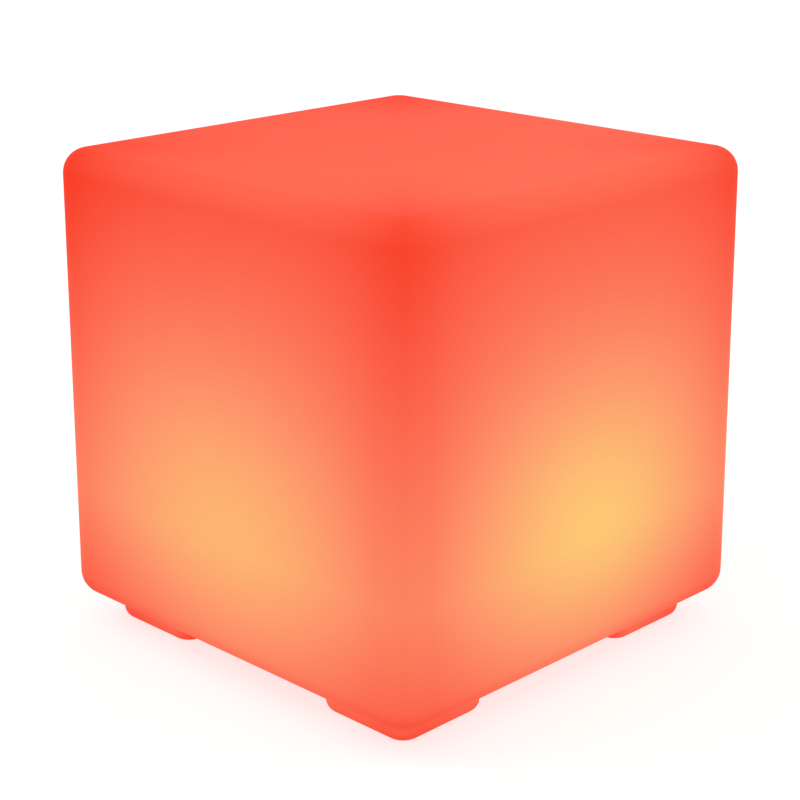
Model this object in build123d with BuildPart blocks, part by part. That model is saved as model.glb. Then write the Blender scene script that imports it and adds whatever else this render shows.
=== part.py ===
"""A cordless cube light for gardens and porches: a rotationally moulded polyethylene cube on four moulded
feet, lit from inside by a sealed light module that is screwed up into its underside.

Frame: millimetres, +Z up, the origin on the floor under the middle of the cube, walls square to X and Y.
Every piece is modelled where it sits. The module is described from the outside inwards: flange, control
panel, battery, boards, lamp post and frosted cover.
"""

import os
from math import hypot, radians, tan

from build123d import *

# ---------------------------------------------------------------------------------------------------
# Driving dimensions
# ---------------------------------------------------------------------------------------------------

# The moulded cube
SIDE = 396.3  # across the walls, at the underside
HEIGHT = 400.0  # floor to top face
WALL = 4.0  # skin of the moulding
DRAFT = 0.46  # degrees that each wall leans in towards the top, so that the mould lets go
EDGE_RADIUS = 28.0  # upright edges
TOP_RADIUS = 20.0  # edges round the top face
BASE_RADIUS = 20.0  # edges round the underside

# The four feet, part of the same skin
FOOT_HEIGHT = 23.0
FOOT_SIZE = 90.0  # across the sole's square, before its rounding
FOOT_INSET = 29.5  # from the wall to the foot's side
FOOT_CORNER = 15.5  # plan radius
FOOT_SOLE_RADIUS = 10.0
FOOT_BLEND = 5.0  # where the foot runs into the underside
FOOT_DRAFT = 8.0  # degrees that each side of a foot widens upwards

# The round seat in the underside that takes the light module
RECESS_DEPTH = 6.0
RECESS_LIP = 1.5  # rounding of the recess's rim
OPENING_PLAY = 2.0  # the module's cup to the opening that it passes through
SCREW_COUNT = 6
BOSS_RADIUS = 8.0
BOSS_LEDGE = 1.0  # opening to the bosses round it
BOSS_CROWN = 3.0  # plastic above an insert
INSERT_ACROSS = 8.0  # hexagonal brass inserts, across the flats
INSERT_LENGTH = 10.0
INSERT_GROOVE = 0.7  # depth of the keying groove round an insert
INSERT_GROOVE_WIDTH = 2.4

# Screws, by thread radius, all with pan heads
M4 = 2.0
M3 = 1.5
M25 = 1.25
HEAD_SPREAD = 2.0  # head radius as a multiple of the thread's
HEAD_RISE = 1.15  # head height as a multiple of the thread's radius
HEAD_ROUND = 0.5  # rounding, as a share of the head's height
DRIVE_DEPTH = 0.6  # cross slot, as a share of the head's height
DRIVE_SPAN = 0.6  # cross slot, as a share of the head's diameter
DRIVE_WIDTH = 0.35  # cross slot, as a share of the thread's diameter
SCREW_PLAY = 0.3  # radial play in a clearance hole
THREAD_PLAY = 0.05  # radial play drawn between two matching threads
HEAD_PLAY = 0.4  # radial play of a head in its counterbore
TIP_PLAY = 2.0  # blind hole beyond a screw's tip
FLANGE_SCREW_LENGTH = 12.0
STRAP_SCREW_LENGTH = 10.0
BOARD_SCREW_LENGTH = 7.0
POST_SCREW_LENGTH = 12.0
CAP_SCREW_LENGTH = 18.0
COVER_SCREW_LENGTH = 16.0

# Flange, its gasket and the module's cup
GASKET_THICK = 1.5
GASKET_MARGIN = 1.0  # gasket to the edges of what it lies between
FLANGE_EDGE = 8.0  # flange beyond the circle of its screws
FLANGE_PLAY = 2.0  # flange to recess wall
FLANGE_THICK = 3.5
FLANGE_ROUND = 1.5
FLANGE_COUNTERBORE = 1.7
CUP_WALL = 3.0
CUP_CLEAR = 2.4  # the cup's wall to the corners of what it holds
CUP_HEIGHT = 47.5  # rim above the inside of the flange

# Control panel: a sunk rounded rectangle in the module's outer face
PANEL_LENGTH = 66.0
PANEL_WIDTH = 28.0
PANEL_CORNER = 8.0
PANEL_Y = -26.0
PANEL_DEPTH = 5.0
PANEL_THICK = 3.0
JACK_X = -9.0
LENS_X = 5.0
BUTTON_X = 19.0

# Push button and its latching switch
BUTTON_RADIUS = 7.0
BUTTON_PROUD = 4.0  # how far it stands out of the panel
BUTTON_ROUND = 1.0
BUTTON_DISH = 0.6  # finger hollow in its face
BUTTON_TRAVEL = 1.5
BUTTON_PLAY = 0.15  # radial play in its guide
GUIDE_HEIGHT = 6.0  # collar above the panel's inside
GUIDE_WALL = 2.0
SEAL_SECTION = 0.85  # radius of the section of the button's sealing ring
SEAL_PLAY = 0.05
SEAL_RISE = 2.0  # ring's middle above the panel's inside
BUTTON_LIP = 1.2  # the lip that keeps the button in its guide
BUTTON_LIP_THICK = 1.5
BUTTON_LIP_GAP = 0.1
PLUNGER_WIDTH = 3.2
PLUNGER_GRIP = 3.0  # how deep it sits in the button
PLUNGER_REACH = 2.5  # how deep it stands in the switch, at rest
PLUNGER_PLAY = 0.1
SWITCH_WIDTH = 8.5
SWITCH_HEIGHT = 8.5
SWITCH_GAP = 0.4  # between the pressed button and the switch
SWITCH_PIN = 0.6
SWITCH_PIN_LENGTH = 3.2
SWITCH_PIN_PITCH = 2.5
SWITCH_BOARD_LENGTH = 36.0
SWITCH_BOARD_WIDTH = 20.0
SWITCH_BOARD_X = 18.0  # its middle
SWITCH_POST_RADIUS = 3.0
SWITCH_POST_INSET = 3.8  # screw to the board's edge
SWITCH_LEAD_Y = 5.0  # the button's middle to the joints of its leads

# Charging socket for a 5.5 mm plug with a 2.1 mm hole
JACK_FLANGE_RADIUS = 7.0
JACK_FLANGE_THICK = 1.5
JACK_FLANGE_ROUND = 0.5
JACK_BARREL_RADIUS = 5.5
JACK_PLAY = 0.1
JACK_BORE_RADIUS = 3.0
JACK_BORE_DEPTH = 10.0
JACK_BARREL_LENGTH = 18.0  # behind the flange
JACK_PIN_RADIUS = 1.0
JACK_PIN_ROUND = 0.4
JACK_PIN_SUNK = 1.5  # pin tip below the mouth
JACK_PIN_ROOT = 2.0  # riveted end, sunk in the bottom of the bore
JACK_PIN_ROOT_RADIUS = 1.4
JACK_WASHER_THICK = 1.0
JACK_WASHER_RADIUS = 7.6
JACK_NUT_ACROSS = 14.0
JACK_NUT_THICK = 2.5
TERMINAL_WIDTH = 1.6
TERMINAL_THICK = 0.5
TERMINAL_LENGTH = 3.5
TERMINAL_Y = 3.0  # from the socket's middle

# Silicone cover of the socket, on a strap
PORT_COVER_RADIUS = 6.6
PORT_COVER_THICK = 1.6
PORT_COVER_GAP = 0.2  # under the closed cover
PORT_COVER_ROUND = 0.5
PORT_PLUG_PLAY = 0.6  # plug to the socket's bore
PORT_PLUG_WALL = 0.7
PORT_PLUG_LENGTH = 2.0
PORT_TAB_RADIUS = 3.0  # finger tab on the cover's rim
STRAP_REACH = 11.0  # socket's middle to the bending line
STRAP_WIDTH = 5.0
STRAP_THICK = 0.8
BEAD_RADIUS = 0.75  # the bead that the strap bends round
BEAD_PLAY = 0.1
ANCHOR_REACH = 6.5  # bending line to the anchor's middle
ANCHOR_RADIUS = 3.6
ANCHOR_STEM = 1.75
ANCHOR_STEM_PLAY = 0.1
ANCHOR_BULB = 0.8  # how far its bulb spreads behind the panel
ANCHOR_BULB_THICK = 1.5
ANCHOR_BULB_TAPER = 20.0  # degrees

# Charge indicator: a light pipe and its lamp
LENS_RADIUS = 1.5
LENS_PLAY = 0.1
LENS_HEAD_RADIUS = 2.2
LENS_HEAD_THICK = 0.8
LENS_HEAD_ROUND = 0.5
LED_RADIUS = 1.5
LED_TIP_ROUND = 1.3
LED_GAP = 0.3  # light pipe to the lamp
LED_LENGTH = 4.5

# Battery: two lithium cells side by side in a saddle
CELL_RADIUS = 9.1
CELL_LENGTH = 65.0
CELL_PITCH = 19.0
CELL_NUB_RADIUS = 2.8
CELL_NUB_LENGTH = 1.0
CELL_ROUND = 0.8
BATTERY_Y = 17.0
CELL_PLAY = 0.15
SADDLE_FLOOR = 1.6
SADDLE_SIDE = 1.2
SADDLE_END = 1.8
SADDLE_END_GAP = 0.2
SADDLE_CORNER = 3.0
SADDLE_RISE = 7.0  # walls above the floor of the troughs
TAB_THICK = 0.3  # nickel strip
TAB_WIDTH = 7.0
TAB_ARM = 2.2  # width of the arms that lie on the guard board
GUARD_WIDTH = 7.0  # protection board, in the valley between the cells
GUARD_LENGTH = 28.0
GUARD_THICK = 1.0
GUARD_LAP = 5.0  # how far the nickel arms lie over it
STRAP_X = 20.0  # the two hold-down straps, either side of the middle
HOLD_WIDTH = 9.0
HOLD_THICK = 2.0
HOLD_GAP = 0.05
HOLD_POST_RADIUS = 3.2
HOLD_POST_GAP = 1.2  # post to saddle

# Control board
BOARD_THICK = 1.6
BOARD_CLEAR = 1.5  # its ends to the rim's bosses
BOARD_WIDTH = 40.0
BOARD_CORNER = 3.0
BOARD_RISE = 30.5  # its underside above the cup's floor
BOARD_POST_INSET_X = 3.0
BOARD_POST_INSET_Y = 4.0
BOARD_POST_RADIUS = 3.0
CONNECTOR_PITCH = 2.5
CONNECTOR_WIDTH = 7.5
CONNECTOR_DEPTH = 6.5
CONNECTOR_HEIGHT = 6.0
CONNECTOR_PROUD = 0.5  # over the board's edge
SWITCH_PLUG_X = 24.0
BATTERY_PLUG_X = 9.0
LAMP_CONNECTOR_LENGTH = 12.5
LAMP_CONNECTOR_HEIGHT = 7.0
CAPACITOR_RADIUS = 4.0
CAPACITOR_HEIGHT = 10.0
CAPACITOR_ROUND = 0.5
CAPACITOR_SPREAD = 11.0
CAPACITOR_INSET = 8.0  # from the board's +X end
INDUCTOR_SIZE = 10.0
INDUCTOR_CORNER = 2.0
INDUCTOR_HEIGHT = 4.5
INDUCTOR_INSET = 10.0  # from the board's -X end
INDUCTOR_Y = 4.0

# Deck, gaskets and the rim that they close
RIM_SCREWS = 4
RIM_SCREW_INSET = 7.5  # from the cup's outside to its rim screws
RIM_BOSS_RADIUS = 5.0
DECK_GASKET_THICK = 1.0
DECK_THICK = 3.0
LEAD_HOLE = 6.0
COVER_GASKET_THICK = 0.8

# Six-sided lamp post with its light strips
LAMP_ACROSS = 36.0
LAMP_SIDES = 6
LAMP_POST_WALL = 2.0
LAMP_POST_HEIGHT = 72.0
PORT_COUNT = 3  # screw ports inside the extruded post
PORT_WALL = 1.6
PORT_INSET = 2.0  # port's middle inside the post's inner face
SPIGOT_HEIGHT = 4.0
SPIGOT_PLAY = 0.1
STRIP_WIDTH = 16.0
STRIP_THICK = 1.2
STRIP_CLEAR = 3.0  # above the deck
CHIP_SIZE = 5.0
CHIP_THICK = 1.6
CHIP_PITCH = 22.0
CHIP_COUNT = 3
HUB_THICK = 1.6  # board on the post's top
CAP_HEIGHT = 7.0
CAP_WALL = 1.6
CAP_ROUND = 1.2

# Frosted cover over the lamp post
LAMP_COVER_WALL = 2.0
LAMP_COVER_SIDE_GAP = 1.5  # to the heads of its screws
LAMP_COVER_TOP_GAP = 2.5  # over the screws of the post's cap
LAMP_COVER_DRAFT = 1.5
LAMP_COVER_ROUND = 14.0
LAMP_COVER_EDGE = 1.0  # its flange inside the cup's outside
LAMP_COVER_FLANGE_THICK = 2.5

# Wiring
WIRE_RADIUS = 0.55
BATTERY_LEAD_SWING = 8.5  # how far the battery's leads swing out past the control board
LAMP_LEAD_SWAY = 1.5  # how far the lamp's leads stray inside the post

# ---------------------------------------------------------------------------------------------------
# Levels and places that follow
# ---------------------------------------------------------------------------------------------------

UNDERSIDE = FOOT_HEIGHT
SEAT = UNDERSIDE + RECESS_DEPTH
FLANGE_TOP = SEAT - GASKET_THICK
FLANGE_BOTTOM = FLANGE_TOP - FLANGE_THICK
CUP_FLOOR = FLANGE_TOP
RIM = CUP_FLOOR + CUP_HEIGHT

# the cup has room for the corners of the battery's saddle and of the control panel, and from the cup
# outwards follow the opening, the screws, the flange and the recess
SADDLE_LENGTH = CELL_LENGTH + 2 * (TAB_THICK + SADDLE_END_GAP + SADDLE_END)
SADDLE_WIDTH = CELL_PITCH + 2 * (CELL_RADIUS + CELL_PLAY + SADDLE_SIDE)


def corner_reach(half_length, side, corner):
    """How far a rounded corner, half_length and side from the middle, lies from the module's axis."""
    return hypot(half_length - corner, side - corner) + corner


SADDLE_REACH = corner_reach(SADDLE_LENGTH / 2, BATTERY_Y + SADDLE_WIDTH / 2, SADDLE_CORNER)
PANEL_REACH = corner_reach(PANEL_LENGTH / 2, PANEL_WIDTH / 2 - PANEL_Y, PANEL_CORNER) + PANEL_THICK
CUP_INNER = max(SADDLE_REACH, PANEL_REACH) + CUP_CLEAR
CUP_RADIUS = CUP_INNER + CUP_WALL
OPENING_RADIUS = CUP_RADIUS + OPENING_PLAY
SCREW_CIRCLE = OPENING_RADIUS + BOSS_LEDGE + BOSS_RADIUS
FLANGE_RADIUS = SCREW_CIRCLE + FLANGE_EDGE
RECESS_RADIUS = FLANGE_RADIUS + FLANGE_PLAY
RIM_SCREW_CIRCLE = CUP_RADIUS - RIM_SCREW_INSET
LAMP_COVER_FLANGE_RADIUS = CUP_RADIUS - LAMP_COVER_EDGE
LAMP_COVER_RADIUS = RIM_SCREW_CIRCLE - HEAD_SPREAD * M3 - LAMP_COVER_SIDE_GAP
BOARD_LENGTH = 2 * (RIM_SCREW_CIRCLE - RIM_BOSS_RADIUS - BOARD_CLEAR)

PANEL = FLANGE_BOTTOM + PANEL_DEPTH  # the panel's outer face
PANEL_INSIDE = PANEL + PANEL_THICK
JACK_SPOT = (JACK_X, PANEL_Y)
LENS_SPOT = (LENS_X, PANEL_Y)
BUTTON_SPOT = (BUTTON_X, PANEL_Y)

GUIDE_TOP = PANEL_INSIDE + GUIDE_HEIGHT
GUIDE_BORE = BUTTON_RADIUS + BUTTON_PLAY
BUTTON_FACE = PANEL - BUTTON_PROUD
LIP_BOTTOM = GUIDE_TOP + BUTTON_LIP_GAP
BUTTON_BACK = LIP_BOTTOM + BUTTON_LIP_THICK
SWITCH_BOTTOM = BUTTON_BACK + BUTTON_TRAVEL + SWITCH_GAP
SWITCH_BOARD_BOTTOM = SWITCH_BOTTOM + SWITCH_HEIGHT
SWITCH_BOARD_TOP = SWITCH_BOARD_BOTTOM + BOARD_THICK
SWITCH_POST_X = SWITCH_BOARD_LENGTH / 2 - SWITCH_POST_INSET
SWITCH_POST_Y = SWITCH_BOARD_WIDTH / 2 - SWITCH_POST_INSET
SWITCH_POSTS = [
    (SWITCH_BOARD_X + SWITCH_POST_X, PANEL_Y + SWITCH_POST_Y),
    (SWITCH_BOARD_X - SWITCH_POST_X, PANEL_Y - SWITCH_POST_Y),
]

JACK_MOUTH = PANEL - JACK_FLANGE_THICK
JACK_BACK = PANEL + JACK_BARREL_LENGTH
PORT_COVER_TOP = JACK_MOUTH - PORT_COVER_GAP
PORT_COVER_BOTTOM = PORT_COVER_TOP - PORT_COVER_THICK
PORT_PLUG_RADIUS = JACK_BORE_RADIUS - PORT_PLUG_PLAY
HINGE_X = JACK_X - STRAP_REACH
HINGE_Z = (PORT_COVER_BOTTOM + PORT_COVER_TOP) / 2
ANCHOR_SPOT = (HINGE_X - ANCHOR_REACH, PANEL_Y)

CELL_Z = CUP_FLOOR + SADDLE_FLOOR + CELL_PLAY + CELL_RADIUS
CELL_END = CELL_LENGTH / 2
CELL_YS = [BATTERY_Y - CELL_PITCH / 2, BATTERY_Y + CELL_PITCH / 2]
CELLS_TOP = CELL_Z + CELL_RADIUS
GUARD_BOTTOM = CELL_Z + (CELL_RADIUS**2 - (CELL_PITCH / 2 - GUARD_WIDTH / 2) ** 2) ** 0.5 + HOLD_GAP
GUARD_TOP = GUARD_BOTTOM + GUARD_THICK
HOLD_BOTTOM = CELLS_TOP + HOLD_GAP
HOLD_TOP = HOLD_BOTTOM + HOLD_THICK
HOLD_SPREAD = SADDLE_WIDTH / 2 + HOLD_POST_GAP + HOLD_POST_RADIUS
HOLD_POSTS = [(x, BATTERY_Y + side * HOLD_SPREAD) for x in (-STRAP_X, STRAP_X) for side in (-1, 1)]

BOARD_BOTTOM = CUP_FLOOR + BOARD_RISE
BOARD_TOP = BOARD_BOTTOM + BOARD_THICK
BOARD_POST_X = BOARD_LENGTH / 2 - BOARD_POST_INSET_X
BOARD_POST_Y = BOARD_WIDTH / 2 - BOARD_POST_INSET_Y
BOARD_EDGE = BOARD_WIDTH / 2
BOARD_MOUTH = BOARD_EDGE + CONNECTOR_PROUD
CONNECTOR_MIDDLE = BOARD_MOUTH - CONNECTOR_DEPTH / 2
PLUG_Z = BOARD_TOP + CONNECTOR_HEIGHT / 2
JACK_PLUG = (JACK_X, -CONNECTOR_MIDDLE)
SWITCH_PLUG = (SWITCH_PLUG_X, -CONNECTOR_MIDDLE)
BATTERY_PLUG = (BATTERY_PLUG_X, CONNECTOR_MIDDLE)

DECK_BOTTOM = RIM + DECK_GASKET_THICK
DECK_TOP = DECK_BOTTOM + DECK_THICK
LAMP_COVER_BOTTOM = DECK_TOP + COVER_GASKET_THICK
LAMP_COVER_FLANGE_TOP = LAMP_COVER_BOTTOM + LAMP_COVER_FLANGE_THICK

LAMP_FLAT = LAMP_ACROSS / 2  # post's middle to one of its flats
LAMP_INSIDE = LAMP_FLAT - LAMP_POST_WALL
PORT_CIRCLE = LAMP_INSIDE - PORT_INSET
PORT_RADIUS = M3 + THREAD_PLAY + PORT_WALL
POST_TOP = DECK_TOP + LAMP_POST_HEIGHT
FIRST_FLAT = 180 / LAMP_SIDES  # degrees from +X to the first flat
HUB_TOP = POST_TOP + HUB_THICK
CAP_TOP = HUB_TOP + CAP_HEIGHT
HUB_FLAT = LAMP_FLAT + STRIP_THICK
LAMP_COVER_TOP = CAP_TOP + HEAD_RISE * M3 + LAMP_COVER_TOP_GAP + LAMP_COVER_WALL
LAMP_COVER_HEIGHT = LAMP_COVER_TOP - LAMP_COVER_BOTTOM

FOOT_CENTRE = SIDE / 2 - FOOT_INSET - FOOT_SIZE / 2


def save(piece, name):
    """Label a finished piece and write it under its name."""
    piece.part.label = name
    export_step(piece.part, "parts/" + name + ".step")


os.makedirs("parts", exist_ok=True)

# ---------------------------------------------------------------------------------------------------
# The cube: one hollow skin with its feet, and the seat for the module in its underside
# ---------------------------------------------------------------------------------------------------


def cube_form(skin):
    """The solid form of the cube and its feet, skin millimetres inside the outer surface."""
    with BuildPart() as form:
        with BuildSketch(Plane.XY.offset(UNDERSIDE + skin)):
            RectangleRounded(SIDE - 2 * skin, SIDE - 2 * skin, EDGE_RADIUS - skin)
        extrude(amount=HEIGHT - UNDERSIDE - 2 * skin, taper=DRAFT)
        fillet(form.edges().group_by(Axis.Z)[-1], TOP_RADIUS - skin)
        fillet(form.edges().group_by(Axis.Z)[0], BASE_RADIUS - skin)

        with BuildPart(mode=Mode.PRIVATE) as foot:
            with BuildSketch(Plane.XY.offset(skin)):
                RectangleRounded(FOOT_SIZE - 2 * skin, FOOT_SIZE - 2 * skin, FOOT_CORNER - skin)
            extrude(amount=FOOT_HEIGHT + WALL / 2, taper=-FOOT_DRAFT)
            fillet(foot.edges().group_by(Axis.Z)[0], FOOT_SOLE_RADIUS - skin)
        with GridLocations(2 * FOOT_CENTRE, 2 * FOOT_CENTRE, 2, 2):
            add(foot.part)
        underside = form.faces().filter_by(Axis.Z).filter_by_position(
            Axis.Z, UNDERSIDE + skin - 0.01, UNDERSIDE + skin + 0.01
        )
        foot_roots = [edge for wire in underside[0].inner_wires() for edge in wire.edges()]
        fillet(foot_roots, FOOT_BLEND + skin)
    return form.part


INSERT_NECK = INSERT_ACROSS / 2 - INSERT_GROOVE
INSERT_COLLAR = (INSERT_LENGTH - INSERT_GROOVE_WIDTH) / 2
INSERT_STAGES = [
    (SEAT, INSERT_COLLAR, False),
    (SEAT + INSERT_COLLAR, INSERT_GROOVE_WIDTH, True),
    (SEAT + INSERT_COLLAR + INSERT_GROOVE_WIDTH, INSERT_COLLAR, False),
]

cube_outside = cube_form(0)
cube_inside = cube_form(WALL)

with BuildPart() as cube_shell:
    add(cube_outside)
    add(cube_inside, mode=Mode.SUBTRACT)
    with BuildSketch(Plane.XY.offset(UNDERSIDE + WALL / 2)):
        Circle(RECESS_RADIUS + WALL)
    extrude(amount=RECESS_DEPTH + WALL / 2)
    with BuildSketch(Plane.XY.offset(SEAT)):
        with PolarLocations(SCREW_CIRCLE, SCREW_COUNT):
            Circle(BOSS_RADIUS)
    extrude(amount=INSERT_LENGTH + BOSS_CROWN)
    with BuildSketch(Plane.XY.offset(UNDERSIDE)):
        Circle(RECESS_RADIUS)
    extrude(amount=RECESS_DEPTH, mode=Mode.SUBTRACT)
    with BuildSketch(Plane.XY.offset(SEAT)):
        Circle(OPENING_RADIUS)
    extrude(amount=WALL, mode=Mode.SUBTRACT)
    for bottom, height, is_neck in INSERT_STAGES:
        with BuildSketch(Plane.XY.offset(bottom)):
            with PolarLocations(SCREW_CIRCLE, SCREW_COUNT):
                if is_neck:
                    Circle(INSERT_NECK + THREAD_PLAY)
                else:
                    RegularPolygon(INSERT_ACROSS / 2, 6, major_radius=False)
        extrude(amount=height, mode=Mode.SUBTRACT)
    recess_rim = cube_shell.edges().filter_by(GeomType.CIRCLE).filter_by(
        lambda edge: abs(edge.radius - RECESS_RADIUS) < 0.01
    )
    fillet(recess_rim.sort_by(Axis.Z)[0], RECESS_LIP)
save(cube_shell, "cube_shell")

with BuildPart() as insert_nuts:
    for bottom, height, is_neck in INSERT_STAGES:
        with BuildSketch(Plane.XY.offset(bottom)):
            with PolarLocations(SCREW_CIRCLE, SCREW_COUNT):
                if is_neck:
                    Circle(INSERT_NECK)
                else:
                    RegularPolygon(INSERT_ACROSS / 2, 6, major_radius=False)
                Circle(M4 + THREAD_PLAY, mode=Mode.SUBTRACT)
        extrude(amount=height)
save(insert_nuts, "insert_nuts")

# ---------------------------------------------------------------------------------------------------
# Screws
# ---------------------------------------------------------------------------------------------------


def pan_screw(thread, length):
    """A cross-slotted screw whose head hangs under the origin and whose shank runs up +Z."""
    head = HEAD_RISE * thread
    span = 2 * HEAD_SPREAD * thread * DRIVE_SPAN
    width = 2 * thread * DRIVE_WIDTH
    with BuildPart() as screw:
        with BuildSketch(Plane.XY.offset(-head)):
            Circle(HEAD_SPREAD * thread)
        extrude(amount=head)
        fillet(screw.edges().group_by(Axis.Z)[0], head * HEAD_ROUND)
        with BuildSketch():
            Circle(thread)
        extrude(amount=length)
        with BuildSketch(Plane.XY.offset(-head)):
            Rectangle(span, width)
            Rectangle(width, span)
        extrude(amount=head * DRIVE_DEPTH, mode=Mode.SUBTRACT)
    return screw.part


def driven_down(spots, level):
    """Places for screws whose heads stand on a level, pointing down."""
    return [Location((x, y, level), (180, 0, 0)) for x, y in spots]


def around(radius, count, start=0):
    """Places on a circle about the module's axis, as x and y."""
    return [(place.position.X, place.position.Y) for place in PolarLocations(radius, count, start)]


flange_screw = pan_screw(M4, FLANGE_SCREW_LENGTH)
with BuildPart() as flange_screws:
    with Locations((0, 0, FLANGE_BOTTOM + FLANGE_COUNTERBORE)):
        with PolarLocations(SCREW_CIRCLE, SCREW_COUNT):
            add(flange_screw)
save(flange_screws, "flange_screws")

# ---------------------------------------------------------------------------------------------------
# Flange gasket and the module's housing
# ---------------------------------------------------------------------------------------------------

with BuildPart() as flange_gasket:
    with BuildSketch(Plane.XY.offset(FLANGE_TOP)):
        Circle(FLANGE_RADIUS - GASKET_MARGIN)
        Circle(OPENING_RADIUS + GASKET_MARGIN, mode=Mode.SUBTRACT)
        with PolarLocations(SCREW_CIRCLE, SCREW_COUNT):
            Circle(M4 + SCREW_PLAY, mode=Mode.SUBTRACT)
    extrude(amount=GASKET_THICK)
save(flange_gasket, "flange_gasket")

with BuildPart() as module_housing:
    with BuildSketch(Plane.XY.offset(FLANGE_BOTTOM)):
        Circle(FLANGE_RADIUS)
    extrude(amount=FLANGE_THICK)
    fillet(module_housing.edges().group_by(Axis.Z)[0], FLANGE_ROUND)

    # the cup's wall, with the four bosses that the rim screws go into
    with BuildSketch(Plane.XY.offset(CUP_FLOOR)):
        Circle(CUP_RADIUS)
        Circle(CUP_INNER, mode=Mode.SUBTRACT)
        with PolarLocations(RIM_SCREW_CIRCLE, RIM_SCREWS):
            Circle(RIM_BOSS_RADIUS)
    extrude(amount=CUP_HEIGHT)
    rim_screw_tip = LAMP_COVER_FLANGE_TOP - COVER_SCREW_LENGTH - TIP_PLAY
    with BuildSketch(Plane.XY.offset(RIM)):
        with PolarLocations(RIM_SCREW_CIRCLE, RIM_SCREWS):
            Circle(M3 + THREAD_PLAY)
    extrude(amount=rim_screw_tip - RIM, mode=Mode.SUBTRACT)

    # posts of the control board
    with BuildSketch(Plane.XY.offset(CUP_FLOOR)):
        with GridLocations(2 * BOARD_POST_X, 2 * BOARD_POST_Y, 2, 2):
            Circle(BOARD_POST_RADIUS)
    extrude(amount=BOARD_RISE)
    with BuildSketch(Plane.XY.offset(BOARD_BOTTOM)):
        with GridLocations(2 * BOARD_POST_X, 2 * BOARD_POST_Y, 2, 2):
            Circle(M25 + THREAD_PLAY)
    extrude(amount=-BOARD_SCREW_LENGTH, mode=Mode.SUBTRACT)

    # posts of the straps that hold the battery down
    with BuildSketch(Plane.XY.offset(CUP_FLOOR)):
        with Locations(HOLD_POSTS):
            Circle(HOLD_POST_RADIUS)
    extrude(amount=HOLD_BOTTOM - CUP_FLOOR)
    with BuildSketch(Plane.XY.offset(HOLD_BOTTOM)):
        with Locations(HOLD_POSTS):
            Circle(M3 + THREAD_PLAY)
    extrude(amount=-STRAP_SCREW_LENGTH, mode=Mode.SUBTRACT)

    # the sunk control panel, with the collar that guides the button and the switch board's posts
    with BuildSketch(Plane.XY.offset(FLANGE_BOTTOM + FLANGE_THICK / 2)):
        with Locations((0, PANEL_Y)):
            RectangleRounded(
                PANEL_LENGTH + 2 * PANEL_THICK, PANEL_WIDTH + 2 * PANEL_THICK, PANEL_CORNER + PANEL_THICK
            )
    extrude(amount=PANEL_INSIDE - FLANGE_BOTTOM - FLANGE_THICK / 2)
    with BuildSketch(Plane.XY.offset(PANEL_INSIDE)):
        with Locations(BUTTON_SPOT):
            Circle(GUIDE_BORE + GUIDE_WALL)
    extrude(amount=GUIDE_HEIGHT)
    with BuildSketch(Plane.XY.offset(PANEL_INSIDE)):
        with Locations(SWITCH_POSTS):
            Circle(SWITCH_POST_RADIUS)
    extrude(amount=SWITCH_BOARD_BOTTOM - PANEL_INSIDE)
    with BuildSketch(Plane.XY.offset(SWITCH_BOARD_BOTTOM)):
        with Locations(SWITCH_POSTS):
            Circle(M25 + THREAD_PLAY)
    extrude(amount=-BOARD_SCREW_LENGTH, mode=Mode.SUBTRACT)
    with BuildSketch(Plane.XY.offset(FLANGE_BOTTOM)):
        with Locations((0, PANEL_Y)):
            RectangleRounded(PANEL_LENGTH, PANEL_WIDTH, PANEL_CORNER)
    extrude(amount=PANEL_DEPTH, mode=Mode.SUBTRACT)
    with BuildSketch(Plane.XY.offset(PANEL)):
        with Locations(BUTTON_SPOT):
            Circle(GUIDE_BORE)
        with Locations(JACK_SPOT):
            Circle(JACK_BARREL_RADIUS + JACK_PLAY)
        with Locations(LENS_SPOT):
            Circle(LENS_RADIUS + LENS_PLAY)
        with Locations(ANCHOR_SPOT):
            Circle(ANCHOR_STEM + ANCHOR_STEM_PLAY)
    extrude(amount=PANEL_THICK + GUIDE_HEIGHT, mode=Mode.SUBTRACT)

    # counterbored holes of the flange screws
    with BuildSketch(Plane.XY.offset(FLANGE_BOTTOM)):
        with PolarLocations(SCREW_CIRCLE, SCREW_COUNT):
            Circle(M4 + SCREW_PLAY)
    extrude(amount=FLANGE_THICK, mode=Mode.SUBTRACT)
    with BuildSketch(Plane.XY.offset(FLANGE_BOTTOM)):
        with PolarLocations(SCREW_CIRCLE, SCREW_COUNT):
            Circle(HEAD_SPREAD * M4 + HEAD_PLAY)
    extrude(amount=FLANGE_COUNTERBORE, mode=Mode.SUBTRACT)
save(module_housing, "module_housing")

# ---------------------------------------------------------------------------------------------------
# Push button, its sealing ring and the latching switch behind it
# ---------------------------------------------------------------------------------------------------

RING_Z = PANEL_INSIDE + SEAL_RISE
RING_OUTER = GUIDE_BORE - SEAL_PLAY
RING_MIDDLE = RING_OUTER - SEAL_SECTION
GROOVE_FLOOR = RING_MIDDLE - SEAL_SECTION - SEAL_PLAY
GROOVE_WIDTH = 2 * (SEAL_SECTION + SEAL_PLAY)

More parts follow.
